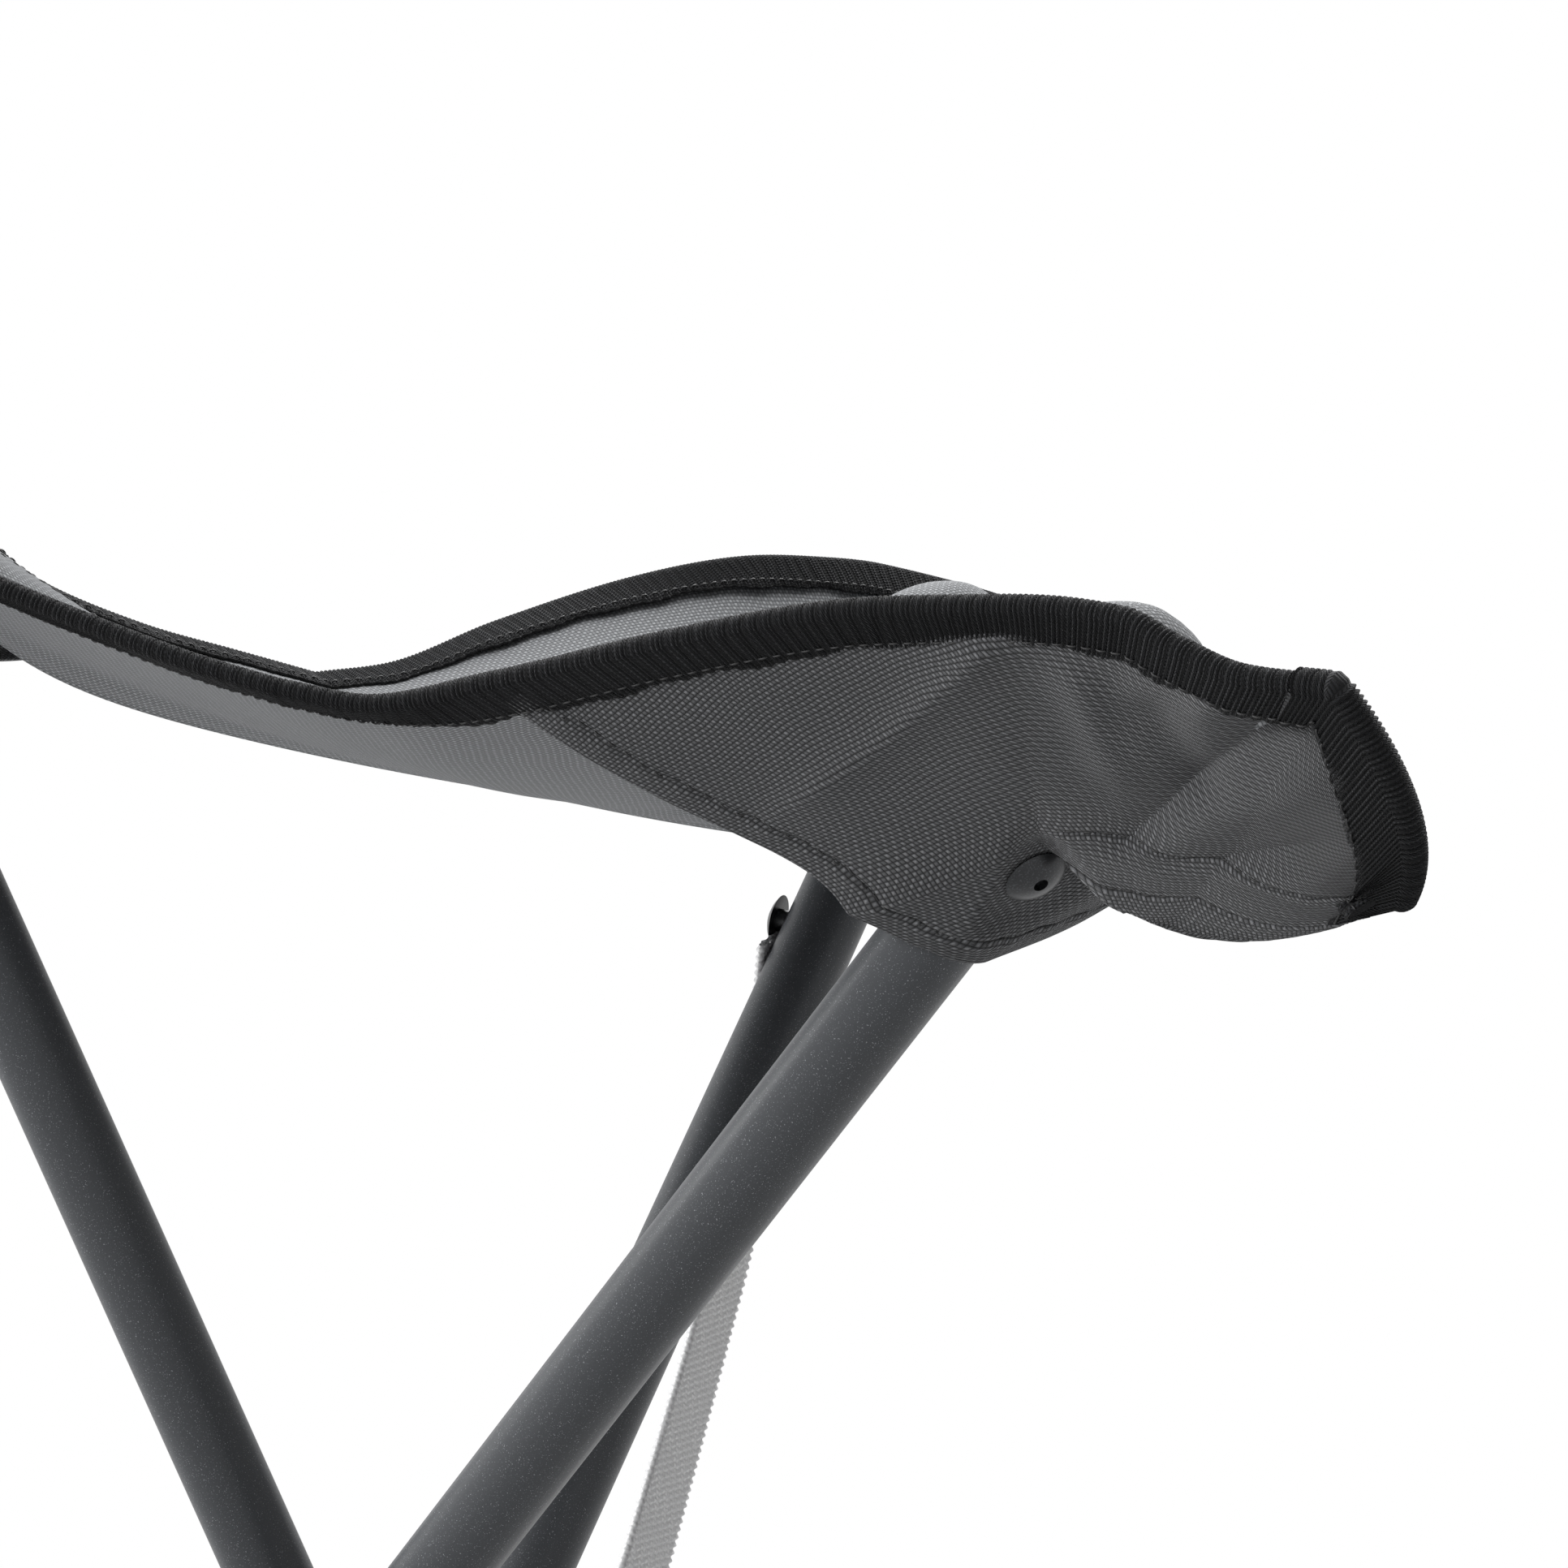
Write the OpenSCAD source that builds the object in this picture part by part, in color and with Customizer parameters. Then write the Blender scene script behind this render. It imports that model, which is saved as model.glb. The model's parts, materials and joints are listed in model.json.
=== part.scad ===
// Three leg folding camp stool: crossed tube legs on a three way pivot,
// with a triangular sling seat whose corner pockets sit on the leg tops.
// Millimetres. Origin on the floor under the pivot, +Z up, leg A's top towards +X.

/* [Legs] */
// Outer diameter of the leg tubes
tube_d = 16; // [13:0.5:18]
// Wall of the leg tubes
tube_wall = 1.2; // [0.8:0.1:2]
// Length of a leg from the pivot to its upper end
upper_len = 286; // [257:1:317]
// Length of a leg from the pivot to its lower end
lower_len = 275; // [220:1:330]
// Lean of the open legs from the vertical, in degrees
lean = 35; // [30:0.5:38]
// Distance from the middle of the stool to each tube's axis at the pivot
side_offset = 15.5; // [14:0.1:20]
// Top plug: thickness of its cap
plug_cap = 2; // [1:0.5:4]
// Top plug: length of its stem in the tube
plug_stem = 14; // [8:1:24]

/* [Feet] */
// Largest diameter of a foot
foot_d = 26; // [22:0.5:26]
// Wall of the foot's sleeve round the tube
foot_wall = 1.9; // [1.2:0.1:3]
// Length of the foot's sleeve above the tube's end
foot_sleeve = 34; // [20:1:50]
// Distance along the leg from the tube's end to the floor
foot_drop = 12; // [9:1:20]
// Number of grip grooves round the sleeve
foot_grooves = 3; // [1:1:4]

/* [Pivot] */
// Diameter of the pivot's arms
arm_d = 6; // [4:0.5:8]
// Running clearance of an arm in its bush, on the radius
arm_play = 0.05; // [0.02:0.01:0.1]
// Wall of the flanged bush
bush_wall = 1; // [0.8:0.1:1.6]
// Diameter of the bush's flange
flange_d = 13; // [11:0.5:15]
// Thickness of the bush's flange
flange_t = 0.8; // [0.5:0.1:1.2]
// Height of the pivot's core
core_h = 26; // [16:1:34]
// Diameter of the outer washers
washer_d = 14; // [12:0.5:16]
// Thickness of the outer washers
washer_t = 1.2; // [0.8:0.1:2]
// Size of the cap nuts across their flats
nut_af = 10; // [9:0.5:13]
// Height of the hexagon of the cap nuts
nut_h = 5; // [4:0.5:8]

/* [Seat] */
// Thickness of the seat fabric
cloth_t = 1.4; // [1:0.1:1.6]
// Distance from the middle of the stool to the middle of each seat edge
edge_reach = 102; // [94:1:112]
// Length of fabric beyond the leg's upper end, at the middle of the tip
tip_reach = 59; // [50:1:66]
// Width of the cut tip between its two ends, seen from above
tip_span = 26; // [20:1:32]
// Height of the fabric above the leg's end where it passes over it
crest_rise = 7.8; // [7:0.1:9]
// Depth of the sagging middle below the legs' ends
belly_drop = 49; // [38:1:60]
// Depth of the middle of each seat edge below the legs' ends
edge_drop = 34; // [25:1:45]

/* [Pockets] */
// Thickness of the pocket fabric
pocket_t = 1; // [0.8:0.1:1.4]
// Distance of the pocket's hem below the leg's end, along the leg
hem_depth = 59; // [52:1:70]
// Distance of the rivet below the leg's end, along the leg
rivet_depth = 38; // [32:1:46]
// Diameter of the rivet's flange
rivet_head_d = 10.6; // [9:0.2:12]
// Height of the rivet's flange
rivet_head_h = 1.9; // [1.4:0.1:2.4]
// Diameter of the rivet's shank
rivet_d = 4.8; // [4:0.1:5.2]

/* [Trim] */
// Width of the webbing tape folded over the edges, as seen on one side
bind_w = 8; // [6:0.5:10]
// Thickness of the binding tape
bind_t = 0.9; // [0.6:0.1:1.2]
// Width of the carry strap
strap_w = 20; // [15:1:25]
// Thickness of the carry strap
strap_t = 1.4; // [1:0.1:2]

/* [Hidden] */
$fn = 64;

A = 0;
B = 1;
C = 2;
corner_az = [0, -120, 120];      // direction in which each leg's upper half leans
drape = [-1, -1, 1];             // side of each corner on which the fabric stays high
fit = 0.05;                      // clearance between pieces that are fixed together
gap = 0.3;                       // gap between soft pieces and their neighbours
seam_gap = 0.35;                 // gap between the binding and the seat panel
eps = 0.01;

tube_r = tube_d / 2;
bore_r = tube_r - tube_wall;
arm_r = arm_d / 2;
bush_r = arm_r + arm_play + bush_wall;
foot_r = foot_d / 2;
pivot_h = (lower_len + foot_drop) * cos(lean);
top_z = pivot_h + upper_len * cos(lean);
top_r = norm([upper_len * sin(lean), side_offset]);
skew = atan2(-side_offset, upper_len * sin(lean));   // leg end's direction from its lean
core_face = side_offset - tube_r - flange_t - 0.1;
washer_at = side_offset + tube_r + gap;
nut_at = washer_at + washer_t + fit;
strap_up = upper_len - hem_depth - 24;               // strap rivets, along leg C
strap_down = -(lower_len - foot_sleeve - 8);

// ---------- leg placing ----------

// Puts children on a leg: +Z runs up the tube from the pivot, +X faces out and down.
module on_leg(k) {
    rotate([0, 0, corner_az[k]])
        translate([0, -side_offset, pivot_h])
            rotate([0, lean, 0])
                children();
}

// Lays children's +Z along the pivot arm of a leg, from the middle of the stool outwards.
module on_arm(k) {
    rotate([0, 0, corner_az[k]])
        translate([0, 0, pivot_h])
            rotate([90, 0, 0])
                children();
}

// ---------- points of the fabric ----------
// Each corner has its own frame: X points at the leg's upper end, seen from above.

function turn(p, a) =
    [p[0] * cos(a) - p[1] * sin(a), p[0] * sin(a) + p[1] * cos(a), p[2]];
function to_world(k, p) = turn(p, corner_az[k] + skew);
function unit(v) = v / norm(v);
function lerp(a, b, t) = a + (b - a) * t;

// Point of leg k's tube at a distance s above the pivot and r towards the underside.
function leg_point(s, r) =
    turn([s * sin(lean) + r * cos(lean), -side_offset,
          pivot_h + s * cos(lean) - r * sin(lean)], -skew);

// The tip's two ends and its middle, seen from above, on the high side of the drape and
// the low one.
tip_high = [top_r + tip_reach - 3, -tip_span * 0.32, 0];
tip_mid = [top_r + tip_reach, tip_span * 0.26, 0];
tip_low = [top_r + tip_reach - 9, tip_span * 0.68, 0];
tip_mid_drop = 14;

// An edge runs from its middle (0) to the tip (1). These are its drops below the leg's
// end, for corners A, B and C, on the side where the fabric stays high. Corner B hangs
// lower there, and the edge that it shares with corner C has a deeper middle.
far_sag = 4.5;
high_drop = [
    [[0, edge_drop], [0.1, edge_drop - 1], [0.22, edge_drop - 9], [0.38, 12.7], [0.53, 2.8],
     [0.65, -2.1], [0.74, -4.9], [0.8, -5.4], [0.85, -3], [0.92, -0.6], [1, -1.7]],
    [[0, edge_drop + far_sag], [0.1, edge_drop + 3], [0.22, edge_drop + 1.5],
     [0.38, edge_drop - 5.5], [0.53, 13], [0.65, 3], [0.74, 0], [0.85, 0], [1, 2]],
    [[0, edge_drop + far_sag], [0.1, edge_drop - 1], [0.22, edge_drop - 13], [0.38, 7],
     [0.53, -2.4], [0.65, -6], [0.74, -7.3], [0.85, -7], [0.92, -6.4], [1, -5]]];
// The same on the side where it hangs, for all three.
low_drop = [[0, edge_drop], [0.1, edge_drop - 1], [0.2, edge_drop - 3], [0.3, edge_drop - 5.5],
            [0.42, edge_drop - 9], [0.58, 20.5], [0.72, 17.5], [0.84, 20], [1, 27]];

function edge_mid(side) = [edge_reach * cos(60), side * edge_reach * sin(60), 0];
// Both edges leave the middle square to its direction and bow out to reach the tip.
function edge_plan(side, tip, t) =
    let (m = edge_mid(side), u = [sin(60), -side * cos(60), 0], n = unit(m),
         along = (tip - [0, 0, tip[2]]) * u, out = tip * n - edge_reach)
    m + u * along * t + n * out * t * t;
function at_drop(p, drop) = [p[0], p[1], top_z - drop];
function high_edge(k, t) =
    at_drop(edge_plan(-1, tip_high, t), lookup(t, high_drop[k]));
function low_edge(t) = at_drop(edge_plan(1, tip_low, t), lookup(t, low_drop));
function tip_curve(k, t) =
    let (a = high_edge(k, 1), b = low_edge(1), c = 2 * at_drop(tip_mid, tip_mid_drop) - (a + b) / 2)
    a * pow(1 - t, 2) + c * 2 * t * (1 - t) + b * t * t;

// Outline of corner k, from the middle of one edge round the tip to the next (0 to 1).
edge_part = 7 / 18;
function corner_outline(k, q) =
    q < edge_part ? high_edge(k, q / edge_part)
    : q > 1 - edge_part ? low_edge((1 - q) / edge_part)
    : tip_curve(k, (q - edge_part) / (1 - 2 * edge_part));

// Underside of the seat: a sagging bowl that rises over the end of each leg.
belly_z = top_z - belly_drop;
bowl_power = 2;
crest_half_w = 19;
crest_in = 38;
crest_out = 21;
function seat_point(k, q, rho) =
    let (e = corner_outline(k, q), p = e * rho,
         bowl = belly_z + (e[2] - belly_z) * pow(rho, bowl_power),
         dx = p[0] - top_r + 2,
         along = dx < 0 ? exp(-pow(dx / crest_in, 2)) : exp(-pow(dx / crest_out, 2)),
         across = exp(-pow(p[1] / crest_half_w, 4)),
         w = along * across * (1 - pow(rho, 12)))
    [p[0], p[1], lerp(bowl, top_z + crest_rise, w)];
function draped(k, p) = [p[0], drape[k] < 0 ? p[1] : -p[1], p[2]];
// Seat point in the world: q runs anticlockwise round corner k.
function own_q(k, q) = drape[k] < 0 ? q : 1 - q;
function seat_world(k, q, rho) = to_world(k, draped(k, seat_point(k, own_q(k, q), rho)));

// Share of the way to the outline at which the binding's lips end.
function lip_rho(k, q) =
    let (e = corner_outline(k, q), r = [e[0], e[1], 0], step = 1 / 36,
         d = corner_outline(k, min(q + step, 1)) - corner_outline(k, max(q - step, 0)),
         slant = norm(cross(unit([d[0], d[1], 0]), unit(r))))
    1 - bind_w / norm(r) / max(slant, 0.55);

// Rows of the seat, closer together over the leg's end; the last is the outline and the
// one before it lies under the ends of the binding's lips.
row_share = [0.2, 0.38, 0.53, 0.64, 0.72, 0.775, 0.83, 0.885, 0.94, 1];
seat_rows = len(row_share);
function row_rho(k, i, q) = i < seat_rows ? row_share[i] * lip_rho(k, q) : 1;
columns = 18;                    // columns of the seat in each corner
function seat_node(k, i, j) =
    let (q = j / columns) seat_world(k, q, row_rho(k, i, own_q(k, q)));

// ---------- solids from points ----------

// Faces of a closed skin between two grids of rows by cols points, one behind the other.
function grid_faces(rows, cols) =
    let (n = rows * cols, id = function (i, j) i * cols + j)
    concat(
        [for (i = [0:rows - 2], j = [0:cols - 2]) each
            [[id(i, j), id(i + 1, j + 1), id(i, j + 1)], [id(i, j), id(i + 1, j), id(i + 1, j + 1)]]],
        [for (i = [0:rows - 2], j = [0:cols - 2]) each
            [[n + id(i, j), n + id(i, j + 1), n + id(i + 1, j + 1)],
             [n + id(i, j), n + id(i + 1, j + 1), n + id(i + 1, j)]]],
        [for (j = [0:cols - 2]) each
            [[id(0, j), n + id(0, j + 1), n + id(0, j)], [id(0, j), id(0, j + 1), n + id(0, j + 1)],
             [id(rows - 1, j), n + id(rows - 1, j + 1), id(rows - 1, j + 1)],
             [id(rows - 1, j), n + id(rows - 1, j), n + id(rows - 1, j + 1)]]],
        [for (i = [0:rows - 2]) each
            [[id(i, 0), n + id(i + 1, 0), id(i + 1, 0)], [id(i, 0), n + id(i, 0), n + id(i + 1, 0)],
             [id(i, cols - 1), id(i + 1, cols - 1), n + id(i + 1, cols - 1)],
             [id(i, cols - 1), n + id(i + 1, cols - 1), n + id(i, cols - 1)]]]);

// Direction square to a grid of points at row i and column j.
function grid_normal(g, i, j) =
    let (r = len(g) - 1, c = len(g[0]) - 1,
         du = g[min(i + 1, r)][j] - g[max(i - 1, 0)][j],
         dv = g[i][min(j + 1, c)] - g[i][max(j - 1, 0)])
    unit(cross(du, dv));

// A sheet of thickness t whose faces are a grid of points and its offset.
module sheet(g, t) {
    rows = len(g);
    cols = len(g[0]);
    near = [for (i = [0:rows - 1], j = [0:cols - 1]) g[i][j]];
    far = [for (i = [0:rows - 1], j = [0:cols - 1]) g[i][j] + grid_normal(g, i, j) * t];
    polyhedron(concat(near, far), grid_faces(rows, cols));
}

// A bar whose section rings, each a loop of points, follow one another. The sides whose
// numbers are in swapped are split along the other diagonal.
module bar(rings, cap, swapped = []) {
    n = len(rings[0]);
    last = (len(rings) - 1) * n;
    sides = [for (i = [0:len(rings) - 2], j = [0:n - 1])
        let (a = i * n + j, b = i * n + (j + 1) % n)
        each len(search(j, swapped)) > 0 ? [[a, b, a + n], [b, b + n, a + n]]
                                         : [[a, b, b + n], [a, b + n, a + n]]];
    ends = [for (f = cap) each [[f[0], f[2], f[1]], [last + f[0], last + f[1], last + f[2]]]];
    polyhedron([for (r = rings) each r], concat(sides, ends));
}

// ---------- pivot ----------

// Three arms at 120 degrees grow out of one cast core with three flat faces.
module hub_spider() color("#4b4d50") {
    core_r = 3;
    translate([0, 0, pivot_h - core_h / 2])
        linear_extrude(core_h)
            intersection() {
                circle(r = core_face * 1.55);
                rotate(90) circle(r = 2 * core_face, $fn = 3);
            }
    for (k = [A, B, C]) on_arm(k) {
        cylinder(r = arm_r, h = nut_at + nut_h + core_r / 2);
    }
}

module pivot_washer(k) color("#b9bbbe")
    on_arm(k) translate([0, 0, washer_at])
        difference() {
            cylinder(d = washer_d, h = washer_t);
            translate([0, 0, -1]) cylinder(r = arm_r + fit, h = washer_t + 2);
        }

module cap_nut(k) color("#a5a8ac")
    on_arm(k) translate([0, 0, nut_at])
        difference() {
            union() {
                cylinder(r = nut_af / 2 / cos(30), h = nut_h, $fn = 6);
                translate([0, 0, nut_h]) intersection() {
                    sphere(r = nut_af / 2);
                    cylinder(r = nut_af, h = nut_af);
                }
            }
            translate([0, 0, -1]) cylinder(r = arm_r + fit, h = nut_h + 3);
        }

// ---------- legs ----------

module leg_tube(k) color("#5d5f62")
    on_leg(k) difference() {
        translate([0, 0, -lower_len]) cylinder(r = tube_r, h = lower_len + upper_len - plug_cap);
        translate([0, 0, -lower_len - 1]) cylinder(r = bore_r, h = lower_len + upper_len + 2);
        rotate([90, 0, 0]) cylinder(r = bush_r + fit, h = tube_d + 2, center = true);
        translate([0, 0, upper_len - rivet_depth])
            rotate([0, 90, 0]) cylinder(r = rivet_d / 2 + fit, h = tube_d);
        if (k == C) for (s = [strap_up, strap_down])
            translate([0, 0, s]) rotate([-90, 0, 0]) cylinder(r = rivet_d / 2 + fit, h = tube_d);
    }

// Flanged sleeve through both walls: it bears on the arm and keeps the tube off the core.
module pivot_bush(k) color("#d9d6cc")
    on_arm(k) difference() {
        union() {
            translate([0, 0, side_offset - tube_r - flange_t])
                cylinder(d = flange_d, h = flange_t);
            translate([0, 0, side_offset - tube_r - eps])
                cylinder(r = bush_r, h = tube_d + gap / 2);
        }
        cylinder(r = arm_r + arm_play, h = 3 * side_offset);
    }

module top_plug(k) color("#1d1e20")
    on_leg(k) translate([0, 0, upper_len - plug_cap])
        difference() {
            rotate_extrude() polygon([
                [0, -plug_stem], [bore_r - 1, -plug_stem], [bore_r - fit, -plug_stem + 1.5],
                [bore_r - fit, 0], [tube_r, 0], [tube_r, plug_cap - 0.7],
                [tube_r - 0.7, plug_cap], [0, plug_cap]]);
            translate([0, 0, -plug_stem - 1]) cylinder(r = bore_r - 2, h = plug_stem - 0.5);
        }

// Moulded foot: a grooved sleeve that flares, cut flat where the open stool stands on it.
module foot(k) color("#202123") {
    sleeve_r = tube_r + foot_wall;
    groove = 0.7;
    pitch = 6;
    difference() {
        on_leg(k) translate([0, 0, -lower_len]) difference() {
            rotate_extrude() polygon([
                [0, -foot_drop - foot_r], [foot_r, -foot_drop - foot_r], [foot_r, -foot_drop + 8],
                [foot_r - 0.5, -foot_drop + 11], [sleeve_r + 0.8, 7], [sleeve_r, 10],
                [sleeve_r, foot_sleeve - 1], [sleeve_r - 1, foot_sleeve], [0, foot_sleeve]]);
            cylinder(r = tube_r + fit, h = foot_sleeve + 1);
            for (i = [1:foot_grooves]) translate([0, 0, 9 + i * pitch])
                rotate_extrude() translate([sleeve_r, 0]) circle(r = groove, $fn = 16);
        }
        translate([-3 * lower_len, -3 * lower_len, -lower_len])
            cube([6 * lower_len, 6 * lower_len, lower_len]);
    }
}

// Blind rivet: wide low dome with the hole of its mandrel, shank, and bulb inside the tube.
module blind_rivet(grip) {
    dome_r = (pow(rivet_head_d / 2, 2) + pow(rivet_head_h, 2)) / (2 * rivet_head_h);
    bulb_r = rivet_d / 2 + 0.9;
    bulb_at = tube_r - sqrt(bore_r * bore_r - bulb_r * bulb_r) + fit;
    bulb_h = 3.4;
    difference() {
        union() {
            intersection() {
                translate([0, 0, grip + rivet_head_h - dome_r]) sphere(r = dome_r);
                translate([0, 0, grip]) cylinder(d = rivet_head_d, h = rivet_head_h);
            }
            translate([0, 0, -bulb_at - 1]) cylinder(d = rivet_d, h = grip + bulb_at + 1 + eps);
            translate([0, 0, -bulb_at - bulb_h]) cylinder(r = bulb_r, h = bulb_h);
        }
        translate([0, 0, grip + rivet_head_h - 1.3]) cylinder(r = 1.25, h = 3);
    }
}

module pocket_rivet(k) color("#3a3b3d")
    on_leg(k) translate([tube_r, 0, upper_len - rivet_depth])
        rotate([0, 90, 0]) blind_rivet(pocket_t + 2 * gap);

// ---------- fabric ----------

module seat_panel() color("#6a6c6f") {
    around = 3 * columns;
    // corners follow one another anticlockwise: A, C, B
    order = [A, C, B];
    under = [for (i = [0:seat_rows], j = [0:around - 1])
        seat_node(order[floor(j / columns)], i, j % columns)];
    n = len(under);
    middle = [0, 0, belly_z];
    lift = [0, 0, cloth_t];
    id = function (i, j) i * around + j % around;
    top = n + 1;
    quads = [for (i = [0:seat_rows - 1], j = [0:around - 1]) each
        [[id(i, j), id(i + 1, j), id(i + 1, j + 1)], [id(i, j), id(i + 1, j + 1), id(i, j + 1)],
         [top + id(i, j), top + id(i + 1, j + 1), top + id(i + 1, j)],
         [top + id(i, j), top + id(i, j + 1), top + id(i + 1, j + 1)]]];
    fan = [for (j = [0:around - 1]) each
        [[n, id(0, j), id(0, j + 1)], [top + n, top + id(0, j + 1), top + id(0, j)]]];
    rim = [for (j = [0:around - 1])
        let (a = id(seat_rows, j), b = id(seat_rows, j + 1))
        each [[a, top + a, top + b], [a, top + b, b]]];
    polyhedron(concat(under, [middle], [for (p = under) p + lift], [middle + lift]),
               concat(quads, fan, rim));
}

// Pocket rows run from the hem to the tip. Each hangs from the high edge, goes round the
// underside of the leg and up to the low edge. Past the rivet they leave the leg and narrow
// towards the tip.
pocket_rows = 10;
wall_steps = 4;                  // steps of a row from an edge to the leg
wrap_steps = 6;                  // steps of a row round the leg
wall_sag = 2;
on_leg_part = 0.4;               // share of the rows that lie on the leg
low_from = 0.5;                  // where the hem meets the low edge, from its middle
high_to = 0.56;                  // where the last row starts and ends round the tip
low_to = 0.62;
pocket_drop = bind_t + seam_gap + 2 * gap + pocket_t;
keel_r = tube_r + gap + pocket_t;
keel_drop = 46;                  // pull of the pocket's lowest line beyond the rivet
side_dir = turn([0, 1, 0], -skew);
down_dir = unit(leg_point(0, 1) - leg_point(0, 0));

// Middle of the arc of row t, and its radius. Past the rivet the arcs swing towards the
// low end of the tip.
function keel_mid(k, t) =
    let (hem = leg_point(upper_len - hem_depth, 0),
         rivet = leg_point(upper_len - rivet_depth + 7, 0),
         belly = draped(k, [top_r + tip_reach * 0.08, tip_span * 0.4, top_z - keel_drop]),
         tip = draped(k, low_edge(1)) - [7, 0, pocket_drop + 1],
         u = max(0, t - on_leg_part) / (1 - on_leg_part))
    t < on_leg_part ? lerp(hem, rivet, t / on_leg_part)
    : rivet * pow(1 - u, 2) + belly * 2 * u * (1 - u) + tip * u * u;
function keel_round(t) = t < on_leg_part ? keel_r
    : lerp(keel_r, pocket_t, (t - on_leg_part) / (1 - on_leg_part));

// Point under the end of the binding's lower lip, at column j of the seat.
function under_lip(k, j) =
    let (a = floor(j), b = min(a + 1, columns), f = j - a,
         at = function (i, n) seat_point(k, n / columns, row_rho(k, i, n / columns)),
         edge = lerp(at(seat_rows, a), at(seat_rows, b), f),
         lip = lerp(at(seat_rows - 1, a), at(seat_rows - 1, b), f))
    lerp(edge, lip, 0.97) - [0, 0, pocket_drop];

// Angle round the leg, from its underside, at which a wall to point p leaves an arc.
function leaving(p, mid, r) =
    let (l = (p - mid) * side_dir, d = (p - mid) * down_dir, away = norm([l, d]))
    atan2(l, d) - sign(l) * acos(min(r / away, 1));

// A wall hangs a little below the straight line from the edge to the leg.
function wall_point(edge, leg, u) =
    lerp(edge, leg, u) - [0, 0, wall_sag * 4 * u * (1 - u)];

function pocket_row(k, i) =
    let (t = i / pocket_rows, side = drape[k],
         high = under_lip(k, lerp(1.5, columns * high_to, t)),
         low = under_lip(k, columns * lerp(1 - edge_part * low_from, low_to, t)),
         first = draped(k, side < 0 ? high : low), last = draped(k, side < 0 ? low : high),
         mid = keel_mid(k, t), r = keel_round(t),
         from = leaving(first, mid, r), to = leaving(last, mid, r),
         arc = [for (n = [0:wrap_steps]) let (a = lerp(from, to, n / wrap_steps))
                mid + (down_dir * cos(a) + side_dir * sin(a)) * r])
    concat([for (n = [0:wall_steps - 1]) wall_point(first, arc[0], n / wall_steps)], arc,
           [for (n = [wall_steps - 1:-1:0]) wall_point(last, arc[wrap_steps], n / wall_steps)]);

module corner_pocket(k) color("#55575a") {
    difference() {
        sheet([for (i = [0:pocket_rows]) [for (p = pocket_row(k, i)) to_world(k, p)]], pocket_t);
        on_leg(k) translate([0, 0, upper_len - rivet_depth])
            rotate([0, 90, 0]) cylinder(r = rivet_d / 2 + fit, h = 2 * tube_d);
    }
}

// Second layer sewn on top of the seat over the end of the leg.
module corner_patch(k) color("#77797c") {
    first_row = 2;
    last_row = seat_rows - 2;
    first_col = drape[k] < 0 ? 4 : 5;
    last_col = first_col + 9;
    lift = [0, 0, cloth_t + gap];
    sheet([for (i = [first_row:last_row]) [for (j = [first_col:last_col])
        seat_node(k, i, j) + lift]], pocket_t);
}

// Webbing tape folded over the edge of the seat, as a U of two lips and a back.
function bind_ring(k, j) =
    let (edge = seat_node(k, seat_rows, j), lip = seat_node(k, seat_rows - 1, j),
         out = (edge - lip) / bind_w, low = -seam_gap, high = cloth_t + seam_gap)
    [for (c = [[lip, 0, high], [edge, seam_gap, high], [edge, seam_gap, low], [lip, 0, low],
               [lip, 0, low - bind_t], [edge, seam_gap + bind_t, low - bind_t],
               [edge, seam_gap + bind_t, high + bind_t], [lip, 0, high + bind_t]])
        c[0] + out * c[1] + [0, 0, c[2]]];
bind_cap = [[1, 6, 7], [0, 1, 7], [2, 5, 6], [1, 2, 6], [3, 4, 5], [2, 3, 5]];
inner_low = 2;                   // side of the ring that faces the seat from below
// Columns at which the outline turns from an edge to the tip and back.
function tip_start(k) = columns * edge_part;
function tip_end(k) = columns * (1 - edge_part);

// From the tip of corner k along the edge to the tip of corner m, anticlockwise.
module edge_binding(k, m) color("#1b1c1e")
    bar(concat([for (j = [tip_end(k):columns - 1]) bind_ring(k, j)],
               [for (j = [0:tip_start(m)]) bind_ring(m, j)]), bind_cap, [inner_low]);

// The tip's tape starts and ends just short of the tapes of the edges.
module tip_binding(k) color("#161719") {
    a = tip_start(k);
    b = tip_end(k);
    trim = 0.15;
    bar(concat([lerp(bind_ring(k, a), bind_ring(k, a + 1), trim)],
               [for (j = [a + 1:b - 1]) bind_ring(k, j)],
               [lerp(bind_ring(k, b), bind_ring(k, b - 1), trim)]), bind_cap, [inner_low]);
}

// ---------- carry strap ----------
// Route beside leg C: distance from the middle towards the leg's lean, and height above
// the pivot. The tape lies flat on the side of the tube at its two rivets.
strap_side = -side_offset + tube_r + gap;
strap_route = [
    [116, 164], [121, 148], [125, 130], [126, 112], [124, 95], [118, 76], [110, 55],
    [101, 33], [91, 10], [79, -14], [65, -38], [49, -62], [31, -86], [11, -108],
    [-11, -128], [-35, -146], [-60, -161], [-84, -173], [-106, -182], [-124, -188], [-132, -190]];

module carry_strap() color("#c9cacb") {
    n = len(strap_route) - 1;
    rings = [for (i = [0:n])
        let (p = strap_route[i], a = strap_route[max(i - 1, 0)], b = strap_route[min(i + 1, n)],
             d = unit(b - a), w = [-d[1], d[0]] * strap_w / 2)
        [for (c = [[1, 0], [1, 1], [-1, 1], [-1, 0]])
            turn([p[0] + w[0] * c[0], strap_side + strap_t * c[1], pivot_h + p[1] + w[1] * c[0]],
                 corner_az[C])]];
    difference() {
        bar(rings, [[0, 1, 2], [0, 2, 3]]);
        on_leg(C) for (s = [strap_up, strap_down]) translate([0, 0, s])
            rotate([-90, 0, 0]) cylinder(r = rivet_d / 2 + fit, h = tube_d);
    }
}

module strap_rivets() color("#3a3b3d")
    on_leg(C) for (s = [strap_up, strap_down])
        translate([0, tube_r, s]) rotate([-90, 0, 0]) blind_rivet(strap_t + 2 * gap);

// ---------- drawing ----------

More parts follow.
